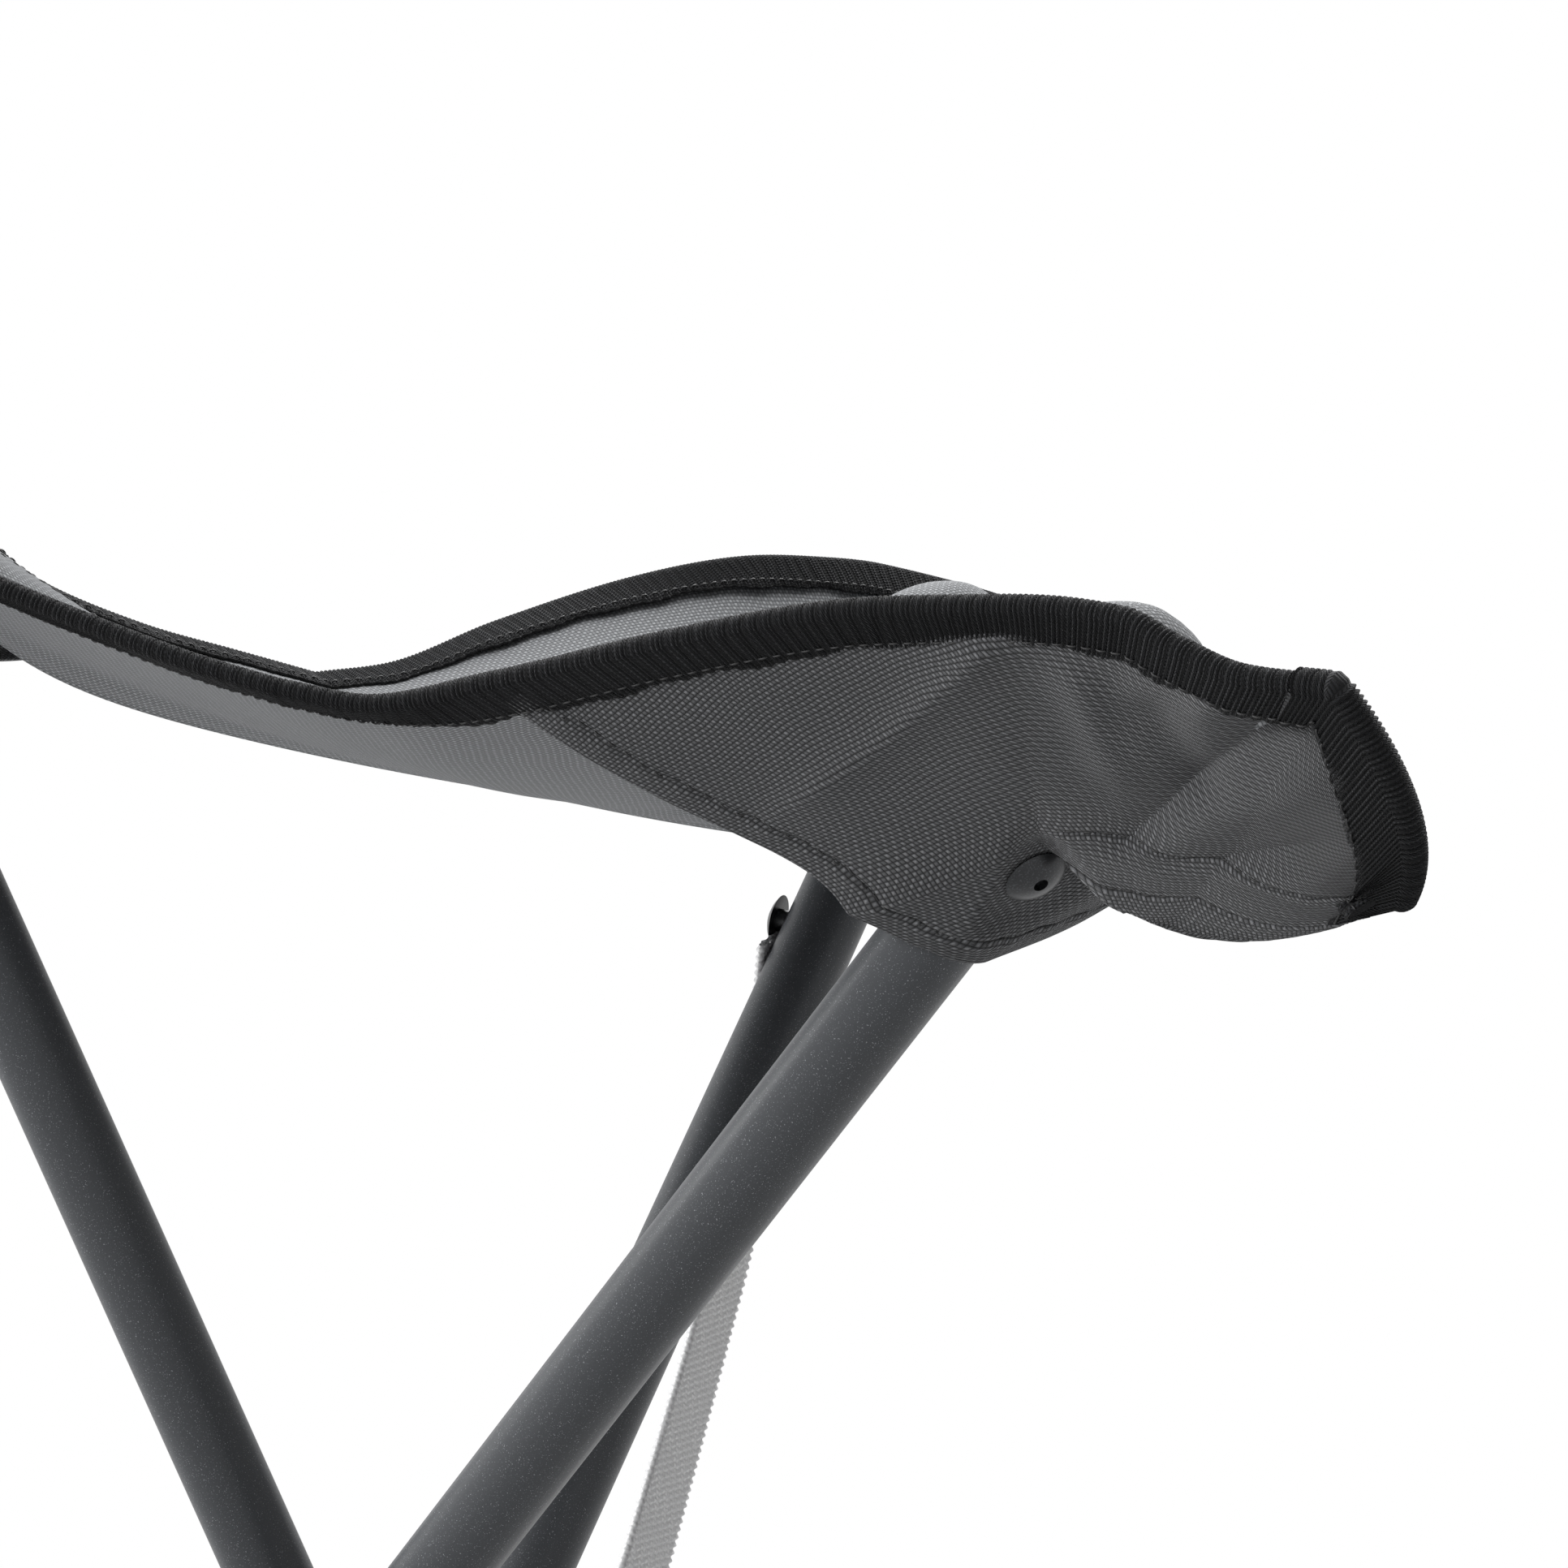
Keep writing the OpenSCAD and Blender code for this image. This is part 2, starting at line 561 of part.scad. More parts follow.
hub_spider();
pivot_washer(A);  // pivot_washer_a
pivot_washer(B);  // pivot_washer_b
pivot_washer(C);  // pivot_washer_c
cap_nut(A);  // cap_nut_a
cap_nut(B);  // cap_nut_b
cap_nut(C);  // cap_nut_c
leg_tube(A);  // leg_tube_a
leg_tube(B);  // leg_tube_b
leg_tube(C);  // leg_tube_c
pivot_bush(A);  // pivot_bush_a
pivot_bush(B);  // pivot_bush_b
pivot_bush(C);  // pivot_bush_c
top_plug(A);  // top_plug_a
top_plug(B);  // top_plug_b
top_plug(C);  // top_plug_c
foot(A);  // foot_a
foot(B);  // foot_b
foot(C);  // foot_c
pocket_rivet(A);  // pocket_rivet_a
pocket_rivet(B);  // pocket_rivet_b
pocket_rivet(C);  // pocket_rivet_c
corner_pocket(A);  // corner_pocket_a
corner_pocket(B);  // corner_pocket_b
corner_pocket(C);  // corner_pocket_c
corner_patch(A);  // corner_patch_a
corner_patch(B);  // corner_patch_b
corner_patch(C);  // corner_patch_c
tip_binding(A);  // tip_binding_a
tip_binding(B);  // tip_binding_b
tip_binding(C);  // tip_binding_c
seat_panel();
edge_binding(B, A);  // edge_binding_ab
edge_binding(C, B);  // edge_binding_bc
edge_binding(A, C);  // edge_binding_ca
carry_strap();
strap_rivets();
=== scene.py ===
import json
import math

import bpy
import numpy as np
from mathutils import Matrix, Vector


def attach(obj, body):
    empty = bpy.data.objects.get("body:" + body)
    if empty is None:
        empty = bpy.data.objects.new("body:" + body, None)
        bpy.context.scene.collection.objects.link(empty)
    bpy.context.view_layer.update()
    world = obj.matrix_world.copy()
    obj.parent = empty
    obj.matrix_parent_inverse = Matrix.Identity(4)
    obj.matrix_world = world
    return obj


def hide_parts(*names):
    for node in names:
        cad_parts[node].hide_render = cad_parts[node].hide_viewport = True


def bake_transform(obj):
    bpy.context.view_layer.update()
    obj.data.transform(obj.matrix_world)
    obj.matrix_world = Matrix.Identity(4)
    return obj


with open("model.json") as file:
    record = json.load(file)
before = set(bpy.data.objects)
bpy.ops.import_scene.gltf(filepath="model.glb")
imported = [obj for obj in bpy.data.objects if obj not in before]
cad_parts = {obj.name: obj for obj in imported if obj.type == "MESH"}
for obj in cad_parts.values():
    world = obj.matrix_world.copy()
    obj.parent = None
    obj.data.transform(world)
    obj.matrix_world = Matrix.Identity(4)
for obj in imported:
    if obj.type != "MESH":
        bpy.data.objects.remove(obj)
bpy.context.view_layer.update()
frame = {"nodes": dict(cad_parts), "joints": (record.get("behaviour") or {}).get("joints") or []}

# Three leg folding stool with a sling seat. Lengths are in millimetres until a mesh is made.
mm = 0.001

# The stool's own sizes, as its solids have them.
stool = {
    "lean": 35,  # degrees from the vertical
    "upperLength": 286,
    "sideOffset": 15.5,  # tube axis from the middle, at the pivot
    "tubeRadius": 8,
    "hemDepth": 59,
    "rivetDepth": 38,
}
pivotHeight = frame["joints"][0]["pos_m"][2] / mm
lean = math.radians(stool["lean"])
topZ = pivotHeight + stool["upperLength"] * math.cos(lean)
topR = math.hypot(stool["upperLength"] * math.sin(lean), stool["sideOffset"])
skew = math.degrees(math.atan2(-stool["sideOffset"], stool["upperLength"] * math.sin(lean)))

camera = {
    "place": (695.0, -520.2, 234.5),  # from the pivot
    "azimuth": 50.47,
    "pitch": -2.356,
    "roll": 11.84,
    "lens": 106.84,
}


def makeCamera():
    data = bpy.data.cameras.new("camera")
    data.lens = camera["lens"]
    data.sensor_width = 36
    data.clip_start = 0.01
    data.clip_end = 30
    item = bpy.data.objects.new("camera", data)
    x, y, z = camera["place"]
    item.matrix_world = (
        Matrix.Translation((x * mm, y * mm, (z + pivotHeight) * mm))
        @ Matrix.Rotation(math.radians(camera["azimuth"]), 4, "Z")
        @ Matrix.Rotation(math.radians(90 + camera["pitch"]), 4, "X")
        @ Matrix.Rotation(math.radians(camera["roll"]), 4, "Z")
    )
    bpy.context.scene.collection.objects.link(item)
    bpy.context.scene.camera = item


makeCamera()
print("camera placed")


def turned(points, degrees):
    points = np.asarray(points, float)
    c = math.cos(math.radians(degrees))
    s = math.sin(math.radians(degrees))
    x, y = points[..., 0], points[..., 1]
    return np.stack([x * c - y * s, x * s + y * c, points[..., 2]], -1)


def toWorld(corner, points):
    # from a corner's frame, where X points at the leg's upper end, to the stool's
    return turned(points, corner["azimuth"] + skew)


def draped(corner, points):
    points = np.array(points, float)
    points[..., 1] *= -corner["highSide"]
    return points


def unit(v):
    return v / np.maximum(np.linalg.norm(v, axis=-1, keepdims=True), 1e-9)


def mixed(a, b, share):
    return np.asarray(a, float) * (1 - share) + np.asarray(b, float) * share


def smooth(value):
    value = np.clip(value, 0, 1)
    return value * value * (3 - 2 * value)


def eased(table, at):
    # smooth curve through the points of a table, with no overshoot
    xs, ys = np.array(table, float).T
    steps = np.diff(ys) / np.diff(xs)
    slopes = np.concatenate([[steps[0]], (steps[1:] + steps[:-1]) / 2, [steps[-1]]])
    for i in range(1, len(xs) - 1):
        if steps[i - 1] * steps[i] <= 0:
            slopes[i] = 0
    at = np.clip(at, xs[0], xs[-1])
    i = np.clip(np.searchsorted(xs, at, side="right") - 1, 0, len(xs) - 2)
    w = xs[i + 1] - xs[i]
    u = (at - xs[i]) / w
    return (
        (2 * u**3 - 3 * u**2 + 1) * ys[i] + (u**3 - 2 * u**2 + u) * w * slopes[i]
        + (3 * u**2 - 2 * u**3) * ys[i + 1] + (u**3 - u**2) * w * slopes[i + 1]
    )


def gridNormals(grid):
    return unit(np.cross(np.gradient(grid, axis=0), np.gradient(grid, axis=1)))


def runLength(points, axis):
    steps = np.linalg.norm(np.diff(points, axis=axis), axis=-1)
    start = np.zeros_like(np.take(steps, [0], axis))
    return np.concatenate([start, np.cumsum(steps, axis)], axis)


def gridFaces(rows, cols, closed=False):
    last = cols if closed else cols - 1
    return [
        (i * cols + j, (i + 1) * cols + j, (i + 1) * cols + (j + 1) % cols, i * cols + (j + 1) % cols)
        for i in range(rows - 1) for j in range(last)
    ]


def makePiece(name, points, faces, material, clothMap=None, smoothShading=True):
    mesh = bpy.data.meshes.new(name)
    points = np.asarray(points, float).reshape(-1, 3) * mm
    mesh.from_pydata([tuple(p) for p in points], [], faces)
    mesh.update()
    if clothMap is not None:
        layer = mesh.uv_layers.new(name="cloth")
        loopPoints = np.zeros(len(mesh.loops), np.int32)
        mesh.loops.foreach_get("vertex_index", loopPoints)
        uv = np.asarray(clothMap, np.float32).reshape(-1, 2)
        layer.uv.foreach_set("vector", uv[loopPoints].ravel())
    mesh.materials.append(material)
    if smoothShading:
        mesh.shade_smooth()
    item = bpy.data.objects.new(name, mesh)
    bpy.context.scene.collection.objects.link(item)
    return item


def thicken(item, thickness, side=1.0, rim=True):
    layer = item.modifiers.new("cloth thickness", "SOLIDIFY")
    layer.thickness = thickness * mm
    layer.offset = side
    layer.use_rim = rim


def hexColour(text):
    parts = [int(text[i:i + 2], 16) / 255 for i in (1, 3, 5)]
    linear = [c / 12.92 if c <= 0.04045 else ((c + 0.055) / 1.055) ** 2.4 for c in parts]
    return (*linear, 1.0)


def addNode(tree, kind, inputs=None, **settings):
    node = tree.nodes.new(kind)
    for key, value in settings.items():
        setattr(node, key, value)
    for key, value in (inputs or {}).items():
        if isinstance(value, bpy.types.NodeSocket):
            tree.links.new(value, node.inputs[key])
        else:
            node.inputs[key].default_value = value
    return node


def newMaterial(name, surface):
    material = bpy.data.materials.new(name)
    material.use_nodes = True
    tree = material.node_tree
    shader = tree.nodes["Principled BSDF"]
    for key, value in surface.items():
        shader.inputs[key].default_value = value
    return material, tree, shader


# Heavy woven polyester: matt, dry threads that pass over and under one another. Their crowns keep the
# thread's colour and read as small lit beads, and the gaps between them are painted nearly black as
# shade.
wovenPolyester = {
    "threadPitch": 0.88,
    "relief": 0.2,
    "roughness": 0.86,
    "sheen": 0.15,
}


def clothMaterial(name, threadHex, gapShadeHex, reliefScale=1.0, pitch=None, sheen=None):
    pitch = pitch or wovenPolyester["threadPitch"]
    material, tree, shader = newMaterial(name, {
        "Roughness": wovenPolyester["roughness"],
        "Specular IOR Level": 0.3,
        "Sheen Weight": wovenPolyester["sheen"] if sheen is None else sheen,
        "Sheen Roughness": 0.45,
    })
    uv = addNode(tree, "ShaderNodeUVMap", uv_map="cloth")
    # threads are never quite straight
    wander = addNode(tree, "ShaderNodeTexNoise", {"Vector": uv.outputs[0], "Scale": 0.05, "Detail": 2.0})
    offset = addNode(tree, "ShaderNodeVectorMath",
                     {0: wander.outputs["Color"], 1: (2.2, 2.2, 0), 2: uv.outputs[0]},
                     operation="MULTIPLY_ADD")
    axes = addNode(tree, "ShaderNodeSeparateXYZ", {0: offset.outputs[0]})
    # each wave makes half a turn a thread, so its sign changes from thread to thread
    halfTurn = math.pi / pitch
    acrossTurn = addNode(tree, "ShaderNodeMath", {0: axes.outputs[0], 1: halfTurn}, operation="MULTIPLY")
    across = addNode(tree, "ShaderNodeMath", {0: acrossTurn.outputs[0]}, operation="SINE")
    alongTurn = addNode(tree, "ShaderNodeMath", {0: axes.outputs[1], 1: halfTurn}, operation="MULTIPLY")
    along = addNode(tree, "ShaderNodeMath", {0: alongTurn.outputs[0]}, operation="SINE")
    over = addNode(tree, "ShaderNodeMath", {0: across.outputs[0], 1: along.outputs[0]},
                   operation="MULTIPLY")
    crown = addNode(tree, "ShaderNodeMath", {0: over.outputs[0]}, operation="ABSOLUTE")
    height = addNode(tree, "ShaderNodeMath", {0: crown.outputs[0], 1: 0.75}, operation="POWER")
    # painted shade: where a thread passes under another, its colour is drawn at half strength
    underShade = addNode(tree, "ShaderNodeMapRange",
                    {"Value": over.outputs[0], "From Min": -0.2, "From Max": 0.2,
                     "To Min": 0.5, "To Max": 1.0})
    # each thread is a bundle of fibres, some paler than others
    fibres = addNode(tree, "ShaderNodeTexNoise", {"Vector": uv.outputs[0], "Scale": 1.1, "Detail": 3.0})
    patches = addNode(tree, "ShaderNodeTexNoise",
                      {"Vector": uv.outputs[0], "Scale": 0.03, "Detail": 2.0})
    lit = addNode(tree, "ShaderNodeMath", {0: height.outputs[0], 1: underShade.outputs[0]},
                  operation="MULTIPLY")
    worn = addNode(tree, "ShaderNodeMapRange",
                   {"Value": fibres.outputs[0], "To Min": 0.55, "To Max": 1.45})
    faded = addNode(tree, "ShaderNodeMapRange",
                    {"Value": patches.outputs[0], "To Min": 0.9, "To Max": 1.1})
    shade = addNode(tree, "ShaderNodeMath", {0: lit.outputs[0], 1: worn.outputs[0]},
                    operation="MULTIPLY")
    tone = addNode(tree, "ShaderNodeMath", {0: shade.outputs[0], 1: faded.outputs[0]},
                   operation="MULTIPLY", use_clamp=True)
    # painted shade: the colour falls from the thread's own colour on each crown to the dark gap colour
    # between threads
    colour = addNode(tree, "ShaderNodeMix",
                     {"Factor": tone.outputs[0], "A": hexColour(gapShadeHex), "B": hexColour(threadHex)},
                     data_type="RGBA")
    tree.links.new(colour.outputs["Result"], shader.inputs["Base Color"])
    bump = addNode(tree, "ShaderNodeBump",
                   {"Height": lit.outputs[0], "Distance": wovenPolyester["relief"] * reliefScale * mm,
                    "Strength": 1.0})
    tree.links.new(bump.outputs[0], shader.inputs["Normal"])
    return material


seatCloth = clothMaterial("woven polyester, seat", "#9a9c9f", "#47494b", 0.8)
# the pockets are the seat's own cloth, painted darker as the shade under the seat's edge, with deeper
# painted shade in the gaps
shadedPocketCloth = clothMaterial("woven polyester, pocket, painted darker as shade", "#77787b", "#0a0a0b", 2.2)
# webbing is woven tighter, and its black soaks up the light; real threads are finer still,
# and are drawn coarser here so that they show
tapeWebbing = clothMaterial("ribbed polyester webbing, black", "#2d2e31", "#020203", 2.4,
                            pitch=0.72, sheen=0.03)
strapWebbing = clothMaterial("flat polyester webbing, pale", "#fafafa", "#dcdcdd", 0.5, pitch=1.0)

# bonded thread: smooth and slightly glossy, with its twist painted into the colour as fine slanted lines
# of painted shade in the grooves between the plies
sewingThread, threadTree, threadShader = newMaterial("bonded polyester thread", {"Roughness": 0.55})
threadPlace = addNode(threadTree, "ShaderNodeTexCoord")
twistShade = addNode(threadTree, "ShaderNodeTexWave",
                      {"Vector": threadPlace.outputs["Object"], "Scale": 900.0, "Distortion": 0.6},
                      bands_direction="DIAGONAL")
threadColour = addNode(threadTree, "ShaderNodeMix",
                       {"Factor": twistShade.outputs["Fac"], "A": hexColour("#070708"),
                        "B": hexColour("#161618")},
                       data_type="RGBA")
threadTree.links.new(threadColour.outputs["Result"], threadShader.inputs["Base Color"])


def speckledMaterial(name, baseHex, speckHex, speckSize, share, surface, relief):
    # fine specks in the finish, and a relief of the same size
    material, tree, shader = newMaterial(name, surface)
    place = addNode(tree, "ShaderNodeTexCoord")
    specks = addNode(tree, "ShaderNodeTexNoise",
                     {"Vector": place.outputs["Object"], "Scale": 1 / (speckSize * mm), "Detail": 1.0})
    shown = addNode(tree, "ShaderNodeMapRange",
                    {"Value": specks.outputs[0], "From Min": 1 - share, "From Max": 1 - share + 0.12})
    colour = addNode(tree, "ShaderNodeMix",
                     {"Factor": shown.outputs[0], "A": hexColour(baseHex), "B": hexColour(speckHex)},
                     data_type="RGBA")
    tree.links.new(colour.outputs["Result"], shader.inputs["Base Color"])
    bump = addNode(tree, "ShaderNodeBump",
                   {"Height": specks.outputs[0], "Distance": relief * mm, "Strength": 1.0})
    tree.links.new(bump.outputs[0], shader.inputs["Normal"])
    return material


finishes = {
    # metallic powder coat: satin, with bright flakes that show close up; real flakes are
    # finer, and are drawn coarser here so that they show
    "leg_tube": speckledMaterial("powder coated steel, metallic grey", "#434548", "#94969a", 0.24, 0.35,
                                 {"Roughness": 0.4, "Specular IOR Level": 0.22}, 0.012),
    # injection moulded nylon: dull, with the faint pebble of the mould
    "top_plug": speckledMaterial("moulded nylon, black", "#1b1c1e", "#2b2c2f", 0.6, 0.45,
                                 {"Roughness": 0.6}, 0.03),
    # moulded rubber: soft sheen, with scuffed grey specks
    "foot": speckledMaterial("moulded rubber, black", "#202124", "#3b3c3f", 1.4, 0.42,
                             {"Roughness": 0.78}, 0.05),
    # die cast and painted: slightly uneven
    "hub_spider": speckledMaterial("die cast zinc, painted", "#2e2f31", "#47494c", 0.9, 0.4,
                                   {"Roughness": 0.45, "Metallic": 0.3}, 0.04),
    # turned stainless steel: fine scratches
    "pivot_washer": speckledMaterial("stainless steel, turned", "#a9abae", "#cfd1d3", 0.25, 0.5,
                                     {"Roughness": 0.3, "Metallic": 1.0}, 0.006),
    # nickel plate: a clear reflection, broken by faint cloudy spots
    "cap_nut": speckledMaterial("nickel plated steel", "#b3b5b8", "#d9dadb", 0.5, 0.5,
                                {"Roughness": 0.22, "Metallic": 1.0}, 0.004),
    # natural acetal: waxy and cream coloured
    "pivot_bush": speckledMaterial("moulded acetal, natural", "#cfccc2", "#dedbd2", 0.8, 0.5,
                                   {"Roughness": 0.45}, 0.01),
    # lacquered aluminium: dark, with a soft highlight round the dome
    "rivet": speckledMaterial("lacquered aluminium, dark", "#2b2c2e", "#414346", 0.3, 0.45,
                              {"Roughness": 0.34, "Metallic": 0.45}, 0.01),
}
for node, item in frame["nodes"].items():
    kind = "rivet" if "rivet" in node else node.rstrip("abc").rstrip("_")
    finish = finishes.get(kind) or finishes.get(node)
    if finish:
        item.data.materials.clear()
        item.data.materials.append(finish)
        item.data.shade_smooth()
        edges = item.modifiers.new("sharp edges", "EDGE_SPLIT")
        edges.split_angle = math.radians(32)
print("hard parts finished")


carryStrap = {
    "width": 20,
    "thickness": 1.4,
    "side": -15.5 + 8 + 0.3,  # its inner face, from leg C's plane through the middle
    # distance from the middle towards the leg's lean, and height above the pivot
    "route": [
        (116, 164), (121, 148), (125, 130), (126, 112), (124, 95), (118, 76), (110, 55),
        (101, 33), (91, 10), (79, -14), (65, -38), (49, -62), (31, -86), (11, -108),
        (-11, -128), (-35, -146), (-60, -161), (-84, -173), (-106, -182), (-124, -188), (-132, -190),
    ],
    "ribPitch": 1.7,
    "ribHeight": 0.3,
    "ribSlant": 0.45,  # rise of a rib along the strap, for each millimetre across
    "swing": -8.5,  # sideways, half way down
    "twist": 12,
}


def makeStrap():
    route = np.array(carryStrap["route"], float)
    run = runLength(route, 0)
    fine = np.arange(0, run[-1], carryStrap["ribPitch"] / 6)
    line = np.stack([eased(list(zip(run, route[:, i])), fine) for i in (0, 1)], 1)
    heading = unit(np.gradient(line, axis=0))
    sideways = np.stack([-heading[:, 1], heading[:, 0]], 1)
    half = carryStrap["width"] / 2
    thick = carryStrap["thickness"]
    # it hangs free between its ends
    loose = np.sin(math.pi * np.clip(fine / run[-1] * 1.15 - 0.05, 0, 1)) ** 2
    hang = carryStrap["swing"] * loose
    turn = math.radians(carryStrap["twist"]) * loose
    # the tape's section: two faces and two rounded selvedges
    acrossSteps, selvedge = 16, thick * 0.25
    section = [(half * (1 - 2 * i / acrossSteps), 1.0) for i in range(acrossSteps + 1)]
    section += [(-half - selvedge, 0.5)]
    section += [(-half * (1 - 2 * i / acrossSteps), 0.0) for i in range(acrossSteps + 1)]
    section += [(half + selvedge, 0.5)]
    rings = []
    for across, level in section:
        slanted = fine + across * carryStrap["ribSlant"]
        rib = carryStrap["ribHeight"] * np.cos(2 * math.pi * slanted / carryStrap["ribPitch"])
        deep = carryStrap["side"] + thick * level + rib * (2 * level - 1)
        place = line + sideways * across * np.cos(turn)[:, None]
        deep = deep + hang - across * np.sin(turn)
        rings.append(np.stack([place[:, 0], deep, pivotHeight + place[:, 1]], 1))
    rings = turned(np.stack(rings, 1), 120)
    acrossMap = np.array([across for across, level in section])
    ringMap = np.stack(np.broadcast_arrays(fine[:, None], acrossMap[None, :]), -1)
    faces = gridFaces(len(fine), len(section), closed=True)
    strap = makePiece("strap", rings, faces, strapWebbing, ringMap)
    deep = carryStrap["side"] + thick / 2 + hang
    centre = np.stack([line[:, 0], deep, pivotHeight + line[:, 1]], 1)
    centre = turned(centre, 120) * mm
    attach(strap, "leg_c")
    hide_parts("carry_strap")


makeStrap()
print("carry strap made")


seat = {
    "clothThickness": 1.2,
    "edgeReach": 102,
    "tipReach": 59,
    "tipSpan": 26,
    "tipMiddleDrop": 14,
    "crestRise": 7.4,
    "bellyDrop": 47,
    "bellyTilt": 0.045,  # the sag lies a little off the middle, away from corner A
    "tiltTowards": (0.77, 0.64),
    "edgeDrop": 34,
    "farSag": 4.5,
    "edgePart": 7 / 18,
    "bowlPower": 2.0,
    "crestHalfWidth": 18,
    "crestIn": 38,
    "crestOut": 21,
    "bindWidth": 8,
    "foldHeight": 0.8,
    "bendFrom": 112,  # distances from the middle between which the cloth would bend with a leg
    "bendTo": 54,
}
edgeDrop = seat["edgeDrop"]
# highSide is the side of the corner on which the cloth stays high, seen from above. The
# drops are those of the edge on that side below the leg's end, from its middle (0) to the
# tip (1), and creased is the share of the pocket's folds that the corner has.
corners = [
    {"name": "a", "azimuth": 0, "highSide": -1, "creased": 1.0, "drops": [
        (0, edgeDrop), (0.1, edgeDrop - 1), (0.22, edgeDrop - 9), (0.38, 12.7), (0.53, 2.8),
        (0.65, -2.1), (0.74, -4.9), (0.8, -5.4), (0.85, -3), (0.92, -0.6), (1, -1.7)]},
    {"name": "c", "azimuth": 120, "highSide": 1, "creased": 0.7, "drops": [
        (0, edgeDrop + seat["farSag"]), (0.1, edgeDrop - 1), (0.22, edgeDrop - 13), (0.38, 7),
        (0.53, -2.4), (0.65, -6), (0.74, -7.3), (0.85, -7), (0.92, -6.4), (1, -5)]},
    {"name": "b", "azimuth": -120, "highSide": -1, "creased": 0.55, "drops": [
        (0, edgeDrop + seat["farSag"]), (0.1, edgeDrop + 3), (0.22, edgeDrop + 1.5),
        (0.38, edgeDrop - 5.5), (0.53, 13), (0.65, 3), (0.74, 0), (0.85, 0), (1, 2)]},
]
lowDrops = [(0, edgeDrop), (0.1, edgeDrop - 1), (0.2, edgeDrop - 3), (0.3, edgeDrop - 5.5),
            (0.42, edgeDrop - 9), (0.58, 20.5), (0.72, 17.5), (0.84, 20), (1, 27)]
tipHigh = np.array([topR + seat["tipReach"] - 3, -seat["tipSpan"] * 0.32, 0])
tipMiddle = np.array([topR + seat["tipReach"], seat["tipSpan"] * 0.26, topZ - seat["tipMiddleDrop"]])
tipLow = np.array([topR + seat["tipReach"] - 9, seat["tipSpan"] * 0.68, 0])
bellyZ = topZ - seat["bellyDrop"]


def edgePoint(side, tip, drops, t):
    middle = np.array([math.cos(math.radians(60)), side * math.sin(math.radians(60)), 0])
    sideways = np.array([math.sin(math.radians(60)), -side * math.cos(math.radians(60)), 0])
    run = np.dot(tip, sideways)
    out = np.dot(tip, middle) - seat["edgeReach"]
    t = np.asarray(t, float)[..., None]
    plan = middle * seat["edgeReach"] + sideways * run * t + middle * out * t**2
    height = topZ - eased(drops, t[..., 0])
    return np.stack([plan[..., 0], plan[..., 1], height], -1)


def outline(corner, q):
    # outline of a corner, from the middle of one edge round the tip to the next
    q = np.clip(np.asarray(q, float), 0, 1)
    part = seat["edgePart"]
    first = edgePoint(-1, tipHigh, corner["drops"], np.clip(q / part, 0, 1))
    last = edgePoint(1, tipLow, lowDrops, np.clip((1 - q) / part, 0, 1))
    high = edgePoint(-1, tipHigh, corner["drops"], 1.0)
    low = edgePoint(1, tipLow, lowDrops, 1.0)
    u = np.clip((q - part) / (1 - 2 * part), 0, 1)[..., None]
    handle = 2 * tipMiddle - (high + low) / 2
    tip = high * (1 - u) ** 2 + handle * 2 * u * (1 - u) + low * u**2
    return np.where((q < part)[..., None], first, np.where((q > 1 - part)[..., None], last, tip))


def surfacePoint(corner, q, rho):
    # underside of the seat: a sagging bowl that rises over the end of each leg
    rim = outline(corner, q)
    rho = np.asarray(rho, float)
    place = rim * rho[..., None]
    bowl = bellyZ + (rim[..., 2] - bellyZ) * rho ** seat["bowlPower"]
    past = place[..., 0] - topR + 2
    reach = np.where(past < 0, seat["crestIn"], seat["crestOut"])
    crest = (np.exp(-(past / reach) ** 2) * np.exp(-(place[..., 1] / seat["crestHalfWidth"]) ** 4)
             * (1 - rho**12))
    across = toWorld(corner, draped(corner, place))[..., :2] @ np.array(seat["tiltTowards"])
    bowl = bowl + seat["bellyTilt"] * across * (1 - rho**2) ** 2
    height = mixed(bowl, topZ + seat["crestRise"], crest)
    return np.stack([place[..., 0], place[..., 1], height], -1)


def foldedPoint(corner, q, rho):
    # long shallow folds run from the leg's end to the middle of the seat
    grid = surfacePoint(corner, q, rho)
    fold = np.sin(q * 41 + 3 * rho) * np.sin(math.pi * q) ** 2 * (rho * (1 - rho**6))
    grid[..., 2] += fold * seat["foldHeight"]
    return grid


def lipShare(corner, q):
    # how far out along a radius the binding's lips end
    flat = outline(corner, q) * [1, 1, 0]
    step = 1 / 36
    run = (outline(corner, q + step) - outline(corner, q - step)) * [1, 1, 0]
    slant = np.abs(np.cross(unit(run), unit(flat))[..., 2])
    return 1 - seat["bindWidth"] / np.linalg.norm(flat, axis=-1) / np.maximum(slant, 0.55)


def bendWithLeg(piece):
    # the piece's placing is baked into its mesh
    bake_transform(piece)


seatMesh = {"columns": 150, "rows": 70, "firstRow": 0.03}


def makeSeatPanel(corner):
    columns, rows = seatMesh["columns"], seatMesh["rows"]
    q = np.linspace(0, 1, columns + 1)
    rho = np.linspace(seatMesh["firstRow"], 1, rows)
    qq, rr = np.meshgrid(q, rho)
    grid = foldedPoint(corner, qq, rr)
    grid = toWorld(corner, draped(corner, grid))
    if corner["highSide"] > 0:
        grid = grid[:, ::-1]
    centre = np.append(np.zeros(2), grid[0, :, 2].mean())
    points = np.concatenate([grid.reshape(-1, 3), centre[None]])
    last = len(points) - 1
    faces = gridFaces(rows, columns + 1) + [(last, j, j + 1) for j in range(columns)]
    piece = makePiece("seatPanel_" + corner["name"], points, faces, seatCloth, points[:, :2])
    thicken(piece, seat["clothThickness"], 1.0, rim=False)
    bendWithLeg(piece)
    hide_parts("seat_panel")


for corner in corners:
    makeSeatPanel(corner)
print("seat panel made")


